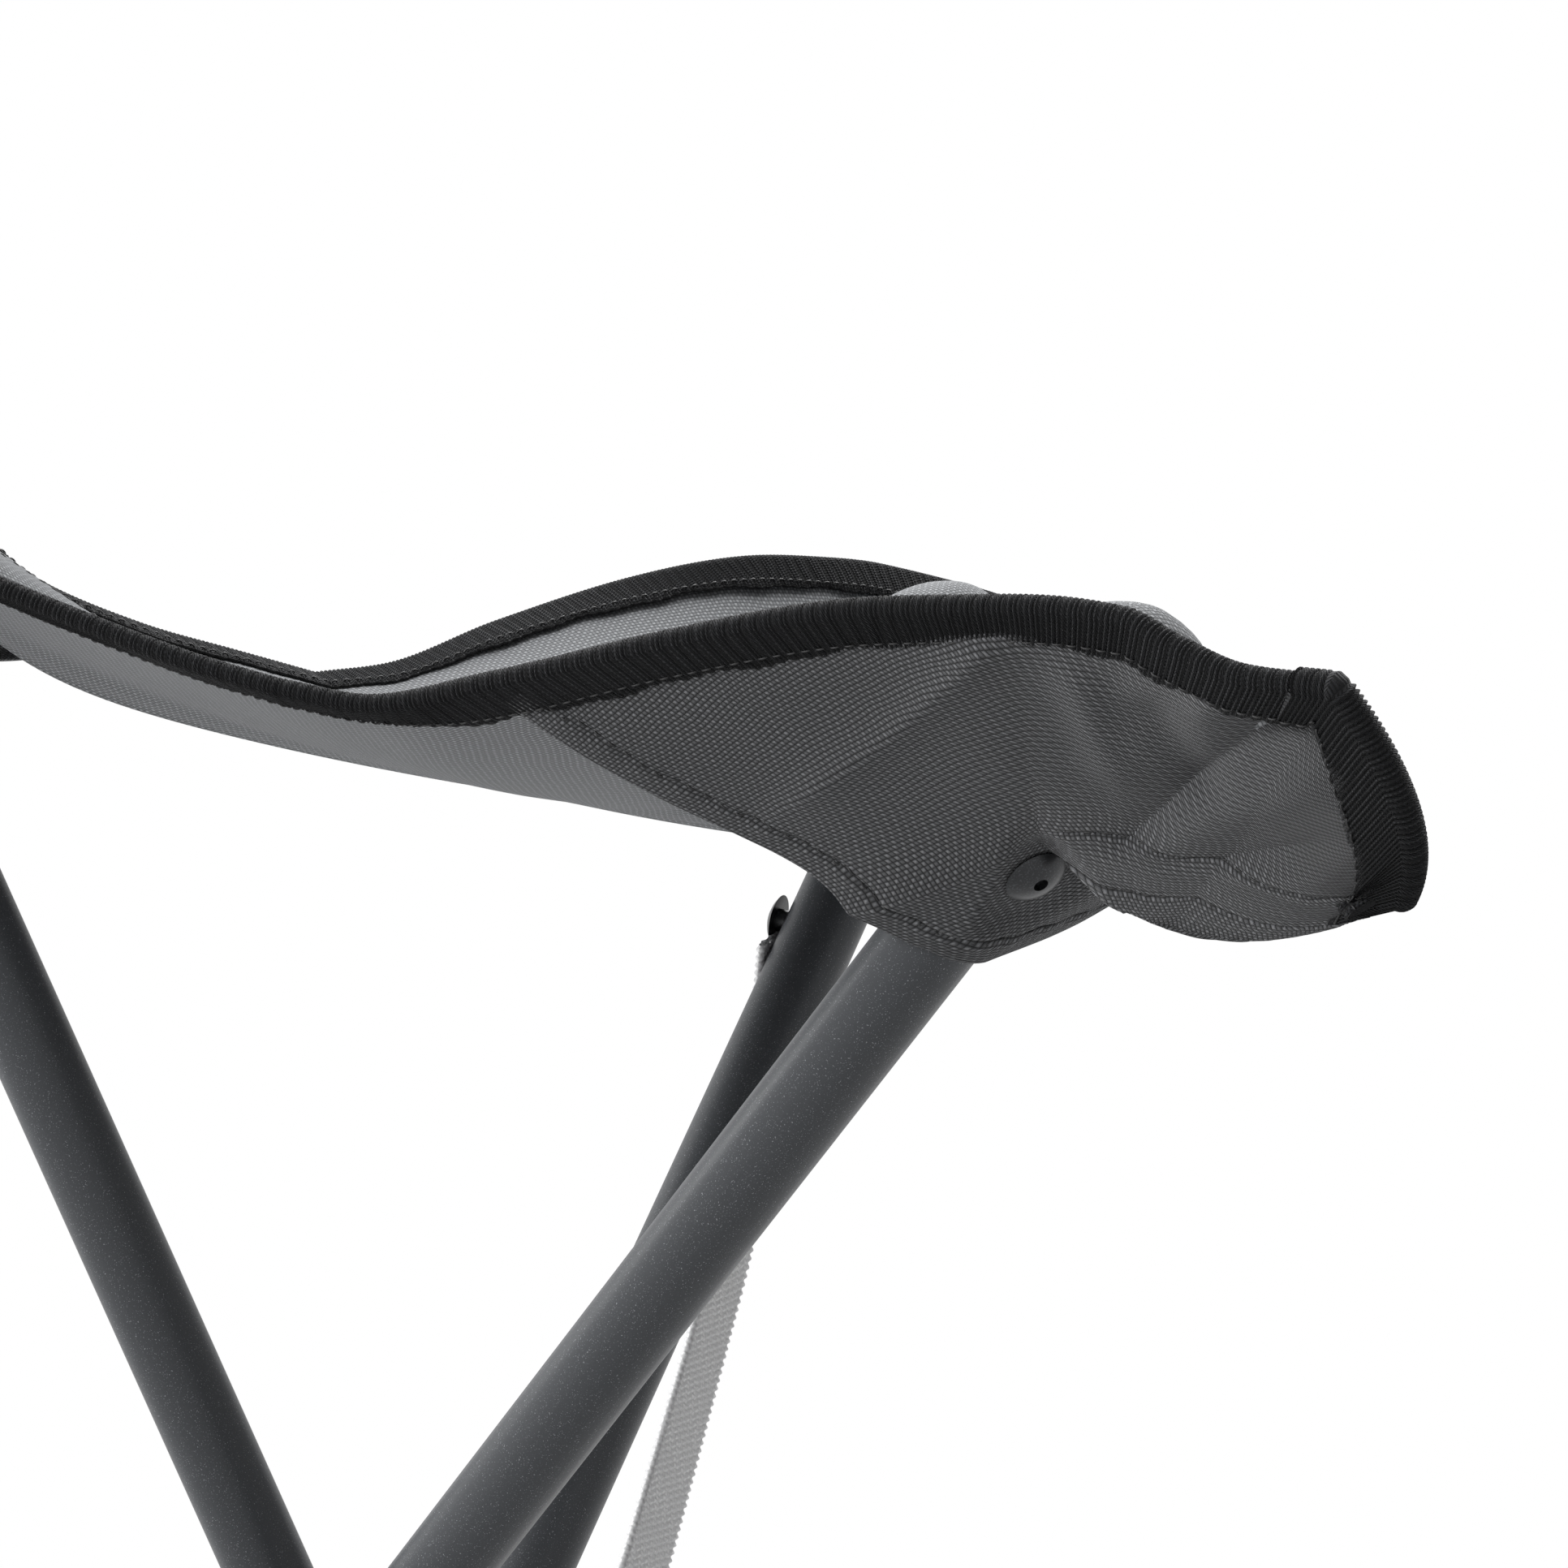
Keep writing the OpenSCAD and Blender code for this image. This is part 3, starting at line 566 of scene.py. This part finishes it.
def makeStitches(name, corner, path, outward, node, pitch=3.0, length=2.1, radius=0.2):
    # lockstitches: short lengths of thread that dive into the cloth at both ends
    run = runLength(path, 0)
    count = int(run[-1] / pitch)
    points, faces = [], []
    sides, rings = 6, 5
    rise = np.array([-1.6, 0.35, 0.8, 0.35, -1.6]) * radius
    for i in range(count):
        base = (i + 0.5) * run[-1] / count
        at = base + np.linspace(-0.5, 0.5, rings) * length
        centre = np.stack([np.interp(at, run, path[:, k]) for k in range(3)], 1)
        up = unit(np.stack([np.interp(at, run, outward[:, k]) for k in range(3)], 1))
        heading = unit(np.gradient(centre, axis=0))
        across = unit(np.cross(heading, up))
        centre = centre + up * rise[:, None]
        first = len(points)
        for k in range(rings):
            for s in range(sides):
                angle = 2 * math.pi * s / sides
                ray = across[k] * math.cos(angle) + up[k] * math.sin(angle)
                points.append(centre[k] + ray * radius)
        for k in range(rings - 1):
            for s in range(sides):
                a = first + k * sides + s
                b = first + k * sides + (s + 1) % sides
                faces.append((a, b, b + sides, a + sides))
        faces.append(tuple(first + s for s in range(sides))[::-1])
        faces.append(tuple(first + (rings - 1) * sides + s for s in range(sides)))
    piece = makePiece(name, toWorld(corner, np.array(points)), faces, sewingThread)
    bendWithLeg(piece)
    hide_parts(node)


cornerPatch = {
    "fromShare": 0.53,
    "toShare": 0.94,
    "fromTurn": 4 / 18,
    "toTurn": 13 / 18,
    "thickness": 0.8,
    "rows": 50,
    "columns": 90,
    "stitchInset": 4,  # rows and columns from the border to the seam
    "borderSteps": 5,  # rows and columns over which the border rises to the patch's level
    "borderRise": 0.5,
    "borderSink": 0.15,
}


def makePatch(corner):
    rows, columns = cornerPatch["rows"], cornerPatch["columns"]
    q = np.linspace(cornerPatch["fromTurn"], cornerPatch["toTurn"], columns)
    share = np.linspace(cornerPatch["fromShare"], cornerPatch["toShare"], rows)
    qq, ss = np.meshgrid(q, share)
    grid = foldedPoint(corner, qq, ss * lipShare(corner, qq))
    # the seam holds its border down on the seat
    i, j = np.indices(qq.shape)
    border = np.minimum(np.minimum(i, rows - 1 - i), np.minimum(j, columns - 1 - j))
    grid[..., 2] += (seat["clothThickness"] - cornerPatch["borderSink"]
                     + cornerPatch["borderRise"] * smooth(border / cornerPatch["borderSteps"]))
    local = draped(corner, grid)
    inset = cornerPatch["stitchInset"]
    top = local + [0, 0, cornerPatch["thickness"]]
    side = top[inset:, inset], top[inset, inset:-inset], top[inset:, -inset]
    path = np.concatenate([side[0][::-1], side[1][1:-1], side[2]])
    upward = np.tile([0.0, 0, 1], (len(path), 1))
    makeStitches("patchStitches_" + corner["name"], corner, path, upward,
                 "corner_patch_" + corner["name"])
    grid = toWorld(corner, local)
    if corner["highSide"] > 0:
        grid = grid[:, ::-1]
    piece = makePiece("cornerPatch_" + corner["name"], grid, gridFaces(rows, columns), seatCloth,
                      grid[..., :2])
    thicken(piece, cornerPatch["thickness"], 1.0)
    bendWithLeg(piece)
    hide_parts("corner_patch_" + corner["name"])


for corner in corners:
    makePatch(corner)
print("corner patches made")


pocket = {
    "thickness": 0.9,
    "rows": 170,
    "across": 220,
    "onLeg": 0.4,  # share of the rows that lie on the leg
    "highFrom": 1.5 / 18,  # where the hem meets the high edge
    "highTo": 0.56,
    "lowFrom": 1 - 7 / 36,  # where it meets the low edge
    "lowTo": 0.62,
    "keelDrop": 46,  # of the lowest line beyond the rivet
    "standOff": 4.0,  # of the cloth from the leg, beyond the rivet
    "wallSag": 2,
    "hemBow": 0.042,  # share of the rows by which the hem curves up between edge and leg
    "bowReach": 0.46,  # share of the width over which each side of that curve rises
    "bowSteep": 3.2,
    "hemWidth": 6,
    "hemStep": 0.45,
    "keelSeam": 5.5,  # of the two lower seams from the lowest line
    "seamWidth": 0.6,
    "puckerPitch": 7.3,
    "puckerHeight": 0.16,
    "rivetPull": 16,  # distance from the rivet up to which the cloth is drawn to the leg
}
keelRadius = stool["tubeRadius"] + 0.3

# Creases and folds in the pocket's wall, seen from its high side: the ends are millimetres
# outwards and up from the leg's end, with the height and half width of the fold.
pocketFolds = [
    {"from": (-40, -33), "to": (2, 1), "height": 2.4, "width": 3.4, "sharp": True},
    {"from": (-35, -45), "to": (0, -14), "height": 1.5, "width": 9},
    {"from": (3, -31), "to": (47, -2), "height": -3.0, "width": 4.0, "sharp": True},
    {"from": (5, -31), "to": (51, -9.6), "height": 1.2, "width": 2.6},
    {"from": (9, -31), "to": (48, -19), "height": -1.0, "width": 1.9, "sharp": True},
    {"from": (15, -31), "to": (45, -25), "height": 0.5, "width": 1.6},
    {"from": (22, -5), "to": (26, -18), "height": -1.7, "width": 5},
    {"from": (11, -2), "to": (12, -18), "height": 1.4, "width": 4},
    {"from": (31, -5), "to": (47, 1), "height": 0.9, "width": 2.4},
]


def legPoint(s, r):
    point = np.array([s * math.sin(lean) + r * math.cos(lean), -stool["sideOffset"],
                      pivotHeight + s * math.cos(lean) - r * math.sin(lean)])
    return turned(point, -skew)


downward = unit(legPoint(0, 1) - legPoint(0, 0))
sideward = turned(np.array([0, 1, 0]), -skew)


def keelMiddle(corner, t):
    hem = legPoint(stool["upperLength"] - stool["hemDepth"], 0)
    rivet = legPoint(stool["upperLength"] - stool["rivetDepth"] + 7, 0)
    rivet = rivet + downward * pocket["standOff"]
    belly = draped(corner, [topR + seat["tipReach"] * 0.08, seat["tipSpan"] * 0.4,
                            topZ - pocket["keelDrop"]])
    tip = draped(corner, edgePoint(1, tipLow, lowDrops, 1.0)) - [7, 0, 2.6]
    if t < pocket["onLeg"]:
        return mixed(hem, rivet, smooth(t / pocket["onLeg"]) * 0.35 + t / pocket["onLeg"] * 0.65)
    u = (t - pocket["onLeg"]) / (1 - pocket["onLeg"])
    return rivet * (1 - u) ** 2 + belly * 2 * u * (1 - u) + tip * u**2


def keelRound(t):
    u = max(0, t - pocket["onLeg"]) / (1 - pocket["onLeg"])
    return keelRadius * (1 - u) + 0.6 * u


def leavingAngle(point, middle, radius):
    # angle at which a line from the point touches the circle round the middle
    side, down = np.dot(point - middle, sideward), np.dot(point - middle, downward)
    opening = math.acos(min(radius / math.hypot(side, down), 1))
    return math.atan2(side, down) - math.copysign(opening, side)


def wallLine(edge, leg, count):
    u = np.linspace(0, 1, count)[:, None]
    sag = pocket["wallSag"] * min(np.linalg.norm(leg - edge) / 45, 1) ** 2
    return mixed(edge, leg, u) - np.array([0, 0, sag]) * 4 * u * (1 - u)


def resample(line, count):
    run = runLength(line, 0)
    at = np.linspace(0, run[-1], count)
    return np.stack([np.interp(at, run, line[:, i]) for i in range(3)], 1)


def pocketTurns(t):
    return mixed(pocket["highFrom"], pocket["highTo"], t), mixed(pocket["lowFrom"], pocket["lowTo"], t)


def pocketRow(corner, t):
    high, low = [draped(corner, outline(corner, q) - [0, 0, 0.1]) for q in pocketTurns(t)]
    first, last = (high, low) if corner["highSide"] < 0 else (low, high)
    middle, radius = keelMiddle(corner, t), keelRound(t)
    start, end = leavingAngle(first, middle, radius), leavingAngle(last, middle, radius)
    angles = np.linspace(start, end, 30)[:, None]
    arc = middle + (downward * np.cos(angles) + sideward * np.sin(angles)) * radius
    return first, arc, last


def wallDirections(corner):
    # direction in which the pocket's wall leaves the edge, and how deep it is, round the corner
    turns, directions, depths = [], [], []
    for t in np.linspace(0, 1, 60):
        first, arc, last = pocketRow(corner, t)
        highQ, lowQ = pocketTurns(t)
        high, low = arc[0] - first, arc[-1] - last
        if corner["highSide"] > 0:
            high, low = low, high
        turns += [highQ, lowQ]
        directions += [unit(draped(corner, high)), unit(draped(corner, low))]
        depths += [np.linalg.norm(high), np.linalg.norm(low)]
    order = np.argsort(turns)
    return np.array(turns)[order], np.array(directions)[order], np.array(depths)[order]


def pocketGrid(corner):
    share = np.linspace(0, 1, pocket["rows"])
    rows = []
    for t in share:
        first, arc, last = pocketRow(corner, t)
        walls = wallLine(first, arc[0], 40), wallLine(last, arc[-1], 40)[::-1]
        line = np.concatenate([walls[0], arc[1:-1], walls[1]])
        rows.append(resample(line, pocket["across"]))
    grid = np.stack(rows)
    # the hem isn't straight: between the edge and the leg it curves up
    bow = np.zeros(pocket["across"])
    for j in range(pocket["across"]):
        v = j / (pocket["across"] - 1)
        side = min(min(v, 1 - v) / pocket["bowReach"], 1)
        bow[j] = pocket["hemBow"] * math.sin(math.pi * side ** pocket["bowSteep"])
    shifted = share[:, None] + bow[None, :] * (1 - share[:, None]) ** 2
    result = np.empty_like(grid)
    for j in range(pocket["across"]):
        for k in range(3):
            result[:, j, k] = np.interp(shifted[:, j], share, grid[:, j, k])
    return result


def foldHeight(points):
    # raised and sunken lines that run straight across the wall
    total = np.zeros(points.shape[:-1])
    place = np.stack([points[..., 0] - topR, points[..., 2] - topZ], -1)
    for fold in pocketFolds:
        start, end = np.array(fold["from"], float), np.array(fold["to"], float)
        span = end - start
        reach = place - start
        along = (reach @ span) / (span @ span)
        away = np.abs(span[0] * reach[..., 1] - span[1] * reach[..., 0]) / np.linalg.norm(span)
        ends = smooth((along + 0.2) / 0.4) * smooth((1.2 - along) / 0.4)
        steep = 1.15 if fold.get("sharp") else 2
        total += fold["height"] * ends * np.exp(-(away / fold["width"]) ** steep)
    return total


def makePocket(corner):
    grid = pocketGrid(corner)
    rows, across = grid.shape[:2]
    normals = gridNormals(grid)
    middle = across // 2
    if np.dot(normals[rows // 4, middle], downward) < 0:
        normals = -normals
    hemDistance = runLength(grid, 0)
    sideRun = runLength(grid, 1)
    sideRun = sideRun - sideRun[:, [middle]]
    beyondRivet = smooth((np.linspace(0, 1, rows)[:, None] - pocket["onLeg"]) / 0.06)
    v = np.linspace(0, 1, across)[None, :]
    if corner["highSide"] > 0:
        v = 1 - v
    # the folds fade out at the edges and along the lowest line, and the far wall has weaker ones
    wall = (smooth((0.5 - v) / 0.06) * smooth((v - 0.02) / 0.05)
            + 0.6 * smooth((v - 0.5) / 0.06) * smooth((0.98 - v) / 0.05))
    height = foldHeight(draped(corner, grid)) * wall * corner["creased"]
    # the turned hem is one layer thicker, and the seam's line is drawn in
    fromSeam = hemDistance - pocket["hemWidth"]
    fromKeelSeam = np.abs(sideRun) - pocket["keelSeam"]
    height += pocket["hemStep"] * smooth((pocket["hemWidth"] + 0.5 - hemDistance) / 0.9)
    height -= 0.4 * np.exp(-(fromSeam / pocket["seamWidth"]) ** 2)
    height -= 0.35 * np.exp(-(fromKeelSeam / pocket["seamWidth"]) ** 2) * beyondRivet
    pucker = np.sin(2 * math.pi * sideRun / pocket["puckerPitch"]) * np.exp(-(fromSeam / 3.0) ** 2)
    height += pocket["puckerHeight"] * pucker
    grid = grid + normals * height[..., None]
    # the rivet pulls the cloth against the leg
    rivetAt = legPoint(stool["upperLength"] - stool["rivetDepth"], stool["tubeRadius"])
    away = np.linalg.norm(grid - rivetAt, axis=-1)
    offLeg = np.clip((grid - rivetAt) @ downward - 0.2, 0, None)
    pulled = smooth((pocket["rivetPull"] - away) / (pocket["rivetPull"] / 2))
    grid = grid - downward * (offLeg * pulled)[..., None]
    clothMap = np.stack([sideRun, hemDistance], -1)
    skin = grid + normals * pocket["thickness"]
    seamRows = [np.interp(pocket["hemWidth"], hemDistance[:, j], np.arange(rows)) for j in range(across)]
    picked = [(int(round(seamRows[j])), j) for j in range(3, across - 3) if seamRows[j] < rows - 2]
    picked = tuple(np.array(picked).T)
    name = corner["name"]
    makeStitches("hemStitches_" + name, corner, skin[picked], normals[picked],
                 "corner_pocket_" + name)
    # two more seams run along the pocket's lowest line, beyond the rivet
    chosen = range(int(rows * (pocket["onLeg"] + 0.03)), rows - 2)
    for label, at in (("Near", -pocket["keelSeam"]), ("Far", pocket["keelSeam"])):
        path, outward = [
            np.array([[np.interp(at, sideRun[i], values[i, :, k]) for k in range(3)] for i in chosen])
            for values in (skin, normals)
        ]
        makeStitches("keelStitches" + label + "_" + name, corner, path, outward,
                     "corner_pocket_" + name)
    piece = makePiece("pocket_" + name, toWorld(corner, grid), gridFaces(rows, across), shadedPocketCloth,
                      clothMap)
    side = 1.0 if np.dot(gridNormals(grid)[rows // 4, middle], downward) > 0 else -1.0
    thicken(piece, pocket["thickness"], side)
    bendWithLeg(piece)
    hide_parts("corner_pocket_" + name)


for corner in corners:
    makePocket(corner)
print("corner pockets made")


tape = {
    "thickness": 0.8,
    "ribPitch": 0.95,
    "ribHeight": 0.28,
    "ringsPerRib": 4,
    "underWidth": 6.2,  # of the lower lip
    "tipWidth": 10.4,
    "pocketRoom": 0.9,  # the lower lip goes round the pocket's cloth too
    "lipSteps": 8,
    "backSteps": 9,
    "stitchInset": 1.4,  # of the seam from the end of a lip
    "leastSewn": 3.5,  # a narrower lip has no seam
    "tipOverlap": 0.012,  # share of the outline by which the tip's tape laps over the edge's
    "tipShort": 0.002,
    "tipSpare": 0.55,  # the tip's tape lies over the ends of the edge tapes
}


def tapeRings(corner, fromTurn, toTurn, width, lowWidth, spare):
    # rings along the outline, a rib's share apart; each is a U whose lips open with the cloth
    coarse = np.linspace(fromTurn, toTurn, 400)
    run = runLength(outline(corner, coarse), 0)
    count = max(int(run[-1] / tape["ribPitch"] * tape["ringsPerRib"]), 8)
    at = np.linspace(0, run[-1], count)
    q = np.interp(at, run, coarse)
    outer = outline(corner, q)
    inner = surfacePoint(corner, q, lipShare(corner, q))
    heading = unit(np.gradient(outer, axis=0))
    panel = unit(inner - outer)
    turns, directions, depths = wallDirections(corner)
    tipEnd = 1 - seat["edgePart"]
    held = np.where(q < tipEnd, np.minimum(q, pocket["highTo"]), q)  # the tip's tape ends straight
    wall = unit(np.stack([np.interp(held, turns, directions[:, i]) for i in range(3)], 1))
    wallDepth = np.interp(held, turns, depths) * 0.9 - 0.6
    inPocket = (smooth((q - pocket["highFrom"] + 0.05) / 0.05)
                * smooth((pocket["lowFrom"] + 0.05 - q) / 0.05))
    # the lower lip is never deeper than the wall, and tapers off from the tip's end
    if width > seat["bindWidth"]:
        lowWidth = mixed(tape["underWidth"], lowWidth, smooth((q - fromTurn) / 0.06))
    lowerWidth = np.minimum(lowWidth, mixed(lowWidth, wallDepth, inPocket))
    tapered = 0.2 + lowerWidth * smooth((q - tipEnd - 0.03) / 0.08)
    lowerWidth = np.where(q < tipEnd, lowerWidth, tapered)
    lower = unit(mixed(panel, wall, inPocket[:, None]))
    # a frame square to the tape's run: out is away from the seat, and up
    up = unit(np.array([0, 0, 1.0]) - heading * heading[:, [2]])
    out = np.cross(heading, up)
    out *= -np.sign((out * panel).sum(1))[:, None]
    upperDip = np.arctan2(-(panel * up).sum(1), -(panel * out).sum(1))
    lowerDip = np.arctan2(-(lower * up).sum(1), -(lower * out).sum(1))
    lowerDip = np.minimum(np.maximum(lowerDip, upperDip), upperDip + 1.5)
    core = seat["clothThickness"] / 2
    centre = outer + up * core
    room = core + 0.15 + tape["pocketRoom"] * inPocket / 2 + spare
    rib = tape["ribHeight"] * np.cos(2 * math.pi * at / tape["ribPitch"])
    ragged = 0.4 * np.sin(at / 5.3) + 0.3 * np.sin(at / 2.1 + 1) + 0.2 * np.sin(at * 2.3)
    skin = tape["thickness"]

    def ray(angle):
        return out * np.cos(angle)[:, None] + up * np.sin(angle)[:, None]

    half = math.pi / 2
    upperRay, lowerRay = ray(2 * half + upperDip), ray(2 * half + lowerDip)
    upperFace, lowerFace = ray(half + upperDip), ray(3 * half + lowerDip)
    # the lower lip lies along the pocket's wall, which may run at a slant to the edge
    slant = np.clip((lower * heading).sum(1), -0.8, 0.8)[:, None]
    square = np.sqrt(1 - slant**2)
    lowerLip = lowerRay * square + heading * slant
    lowerWidth = np.minimum(lowerWidth / square[:, 0], np.maximum(wallDepth, lowerWidth))
    shares = np.linspace(0, 1, tape["lipSteps"])
    sweep = np.linspace(0, 1, tape["backSteps"] + 2)[1:-1]
    columns = []

    def lip(direction, face, share, level, fringe, reachOfLip):
        reach = share * (reachOfLip + fringe)
        return centre + direction * reach[:, None] + face * level[:, None]

    def back(share, level):
        angle = (half + upperDip) * (1 - share) + (lowerDip - half) * share
        return centre + ray(angle) * level[:, None]

    outerLevel = room + skin + rib
    endLevel = room + skin * 0.6
    for share in shares[::-1]:
        level = endLevel if share == 1 else outerLevel
        columns.append(lip(upperRay, upperFace, share, level, ragged, width))
    for share in sweep:
        columns.append(back(share, outerLevel))
    for share in shares:
        level = endLevel if share == 1 else outerLevel
        columns.append(lip(lowerLip, lowerFace, share, level, -ragged, lowerWidth))
    for share in shares[::-1]:
        columns.append(lip(lowerLip, lowerFace, share, room, -ragged, lowerWidth))
    for share in sweep[::-1]:
        columns.append(back(share, room))
    for share in shares:
        columns.append(lip(upperRay, upperFace, share, room, ragged, width))
    grid = np.stack(columns, 1)
    acrossMap = runLength(grid, 1)
    clothMap = np.stack([np.broadcast_to(at[:, None], acrossMap.shape), acrossMap], -1)
    seams = []
    level = (room + skin + tape["ribHeight"] * 0.6)[:, None]
    upperWidth = np.full_like(q, width)
    for direction, face, reach in ((upperRay, upperFace, upperWidth), (lowerLip, lowerFace, lowerWidth)):
        line = centre + direction * (reach - tape["stitchInset"])[:, None] + face * level
        wide = reach > tape["leastSewn"]
        seams.append((line[wide], face[wide]))
    return grid, clothMap, seams


def makeTape(name, corner, fromTurn, toTurn, node, width, lowWidth, spare=0.0):
    grid, clothMap, seams = tapeRings(corner, fromTurn, toTurn, width, lowWidth, spare)
    for label, (path, face) in zip(("Upper", "Lower"), seams):
        makeStitches(name + "Stitches" + label, corner, draped(corner, path), draped(corner, face), node,
                     pitch=2.6, length=1.9, radius=0.18)
    grid = toWorld(corner, draped(corner, grid))
    if corner["highSide"] > 0:
        grid, clothMap = grid[::-1], clothMap[::-1]
    rows, cols = grid.shape[:2]
    faces = [face[::-1] for face in gridFaces(rows, cols, closed=True)]
    faces += [tuple(range(cols)), tuple((rows - 1) * cols + j for j in range(cols))[::-1]]
    piece = makePiece(name, grid, faces, tapeWebbing, clothMap)
    bendWithLeg(piece)
    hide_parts(node)


# the edge on each side of a corner
edgeOf = {
    ("a", -1): "ab", ("a", 1): "ca", ("b", -1): "bc",
    ("b", 1): "ab", ("c", -1): "bc", ("c", 1): "ca",
}
for corner in corners:
    part, name = seat["edgePart"], corner["name"]
    makeTape("edgeTapeHigh_" + name, corner, 0, part, "edge_binding_" + edgeOf[(name, -1)],
             seat["bindWidth"], tape["underWidth"])
    makeTape("edgeTapeLow_" + name, corner, 1 - part, 1, "edge_binding_" + edgeOf[(name, 1)],
             seat["bindWidth"], tape["underWidth"])
    makeTape("tipTape_" + name, corner, part - tape["tipOverlap"], 1 - part - tape["tipShort"],
             "tip_binding_" + name, tape["tipWidth"], tape["tipWidth"], tape["tipSpare"])
print("edge tapes made")


stage = {
    "floorHex": "#c9c9c9",
    "shadowReach": 0.42,  # metres from the middle up to which the floor shows its shadow
    "plainFrom": 1.1,  # from here on the floor is the white of the background
    "nearShare": 0.3,  # of that white in the shadow's reach
    "floorHalf": 9000,
    "fill": 0.15,  # strength of the light from all round
    "lamps": [  # place and size in metres, power in watts
        {"name": "overhead", "place": (-0.9, 1.0, 2.4), "size": 2.0, "power": 106},
        {"name": "side", "place": (-0.45, -1.85, 1.0), "size": 0.8, "power": 28},
        {"name": "left", "place": (-1.6, -1.0, 0.7), "size": 0.5, "power": 20},
    ],
}


def plainView(tree):
    # 1 for the rays that show the background itself: straight, mirrored or through something clear
    seen = addNode(tree, "ShaderNodeLightPath")
    mirrored = addNode(tree, "ShaderNodeMath",
                       {0: seen.outputs["Is Camera Ray"], 1: seen.outputs["Is Glossy Ray"]},
                       operation="MAXIMUM")
    clear = addNode(tree, "ShaderNodeMath",
                    {0: mirrored.outputs[0], 1: seen.outputs["Is Transmission Ray"]},
                    operation="MAXIMUM")
    return clear.outputs[0]


def makeStage():
    scene = bpy.context.scene
    material, tree, shader = newMaterial("pale studio floor", {"Roughness": 0.9})
    shader.inputs["Base Color"].default_value = hexColour(stage["floorHex"])
    place = addNode(tree, "ShaderNodeNewGeometry")
    away = addNode(tree, "ShaderNodeVectorMath", {0: place.outputs["Position"]}, operation="LENGTH")
    ramp = addNode(tree, "ShaderNodeMapRange",
                   {"Value": away.outputs["Value"], "From Min": stage["shadowReach"],
                    "From Max": stage["plainFrom"], "To Min": stage["nearShare"], "To Max": 1.0},
                   interpolation_type="SMOOTHSTEP")
    share = addNode(tree, "ShaderNodeMath", {0: plainView(tree), 1: ramp.outputs[0]},
                    operation="MULTIPLY")
    white = addNode(tree, "ShaderNodeEmission", {"Color": (1, 1, 1, 1), "Strength": 1.0})
    both = addNode(tree, "ShaderNodeMixShader",
                   {0: share.outputs[0], 1: shader.outputs[0], 2: white.outputs[0]})
    tree.links.new(both.outputs[0], tree.nodes["Material Output"].inputs["Surface"])
    size = stage["floorHalf"]
    floor = makePiece("floor", [(-size, -size, 0), (size, -size, 0), (size, size, 0), (-size, size, 0)],
                      [(0, 1, 2, 3)], material, smoothShading=False)
    world = bpy.data.worlds.new("studio")
    scene.world = world
    world.use_nodes = True
    tree = world.node_tree
    background = tree.nodes["Background"]
    strength = addNode(tree, "ShaderNodeMapRange",
                       {"Value": plainView(tree), "To Min": stage["fill"], "To Max": 1.0})
    tree.links.new(strength.outputs[0], background.inputs["Strength"])
    background.inputs["Color"].default_value = (1, 1, 1, 1)
    for lamp in stage["lamps"]:
        data = bpy.data.lights.new(lamp["name"], "AREA")
        data.shape = "DISK"
        data.size = lamp["size"]
        data.energy = lamp["power"]
        item = bpy.data.objects.new(lamp["name"], data)
        item.location = lamp["place"]
        item.rotation_mode = "QUATERNION"
        towardsSeat = Vector((0, 0, topZ * mm)) - Vector(lamp["place"])
        item.rotation_quaternion = towardsSeat.to_track_quat("-Z", "Y")
        scene.collection.objects.link(item)
    scene.view_settings.view_transform = "Standard"


makeStage()
print("stage lit")
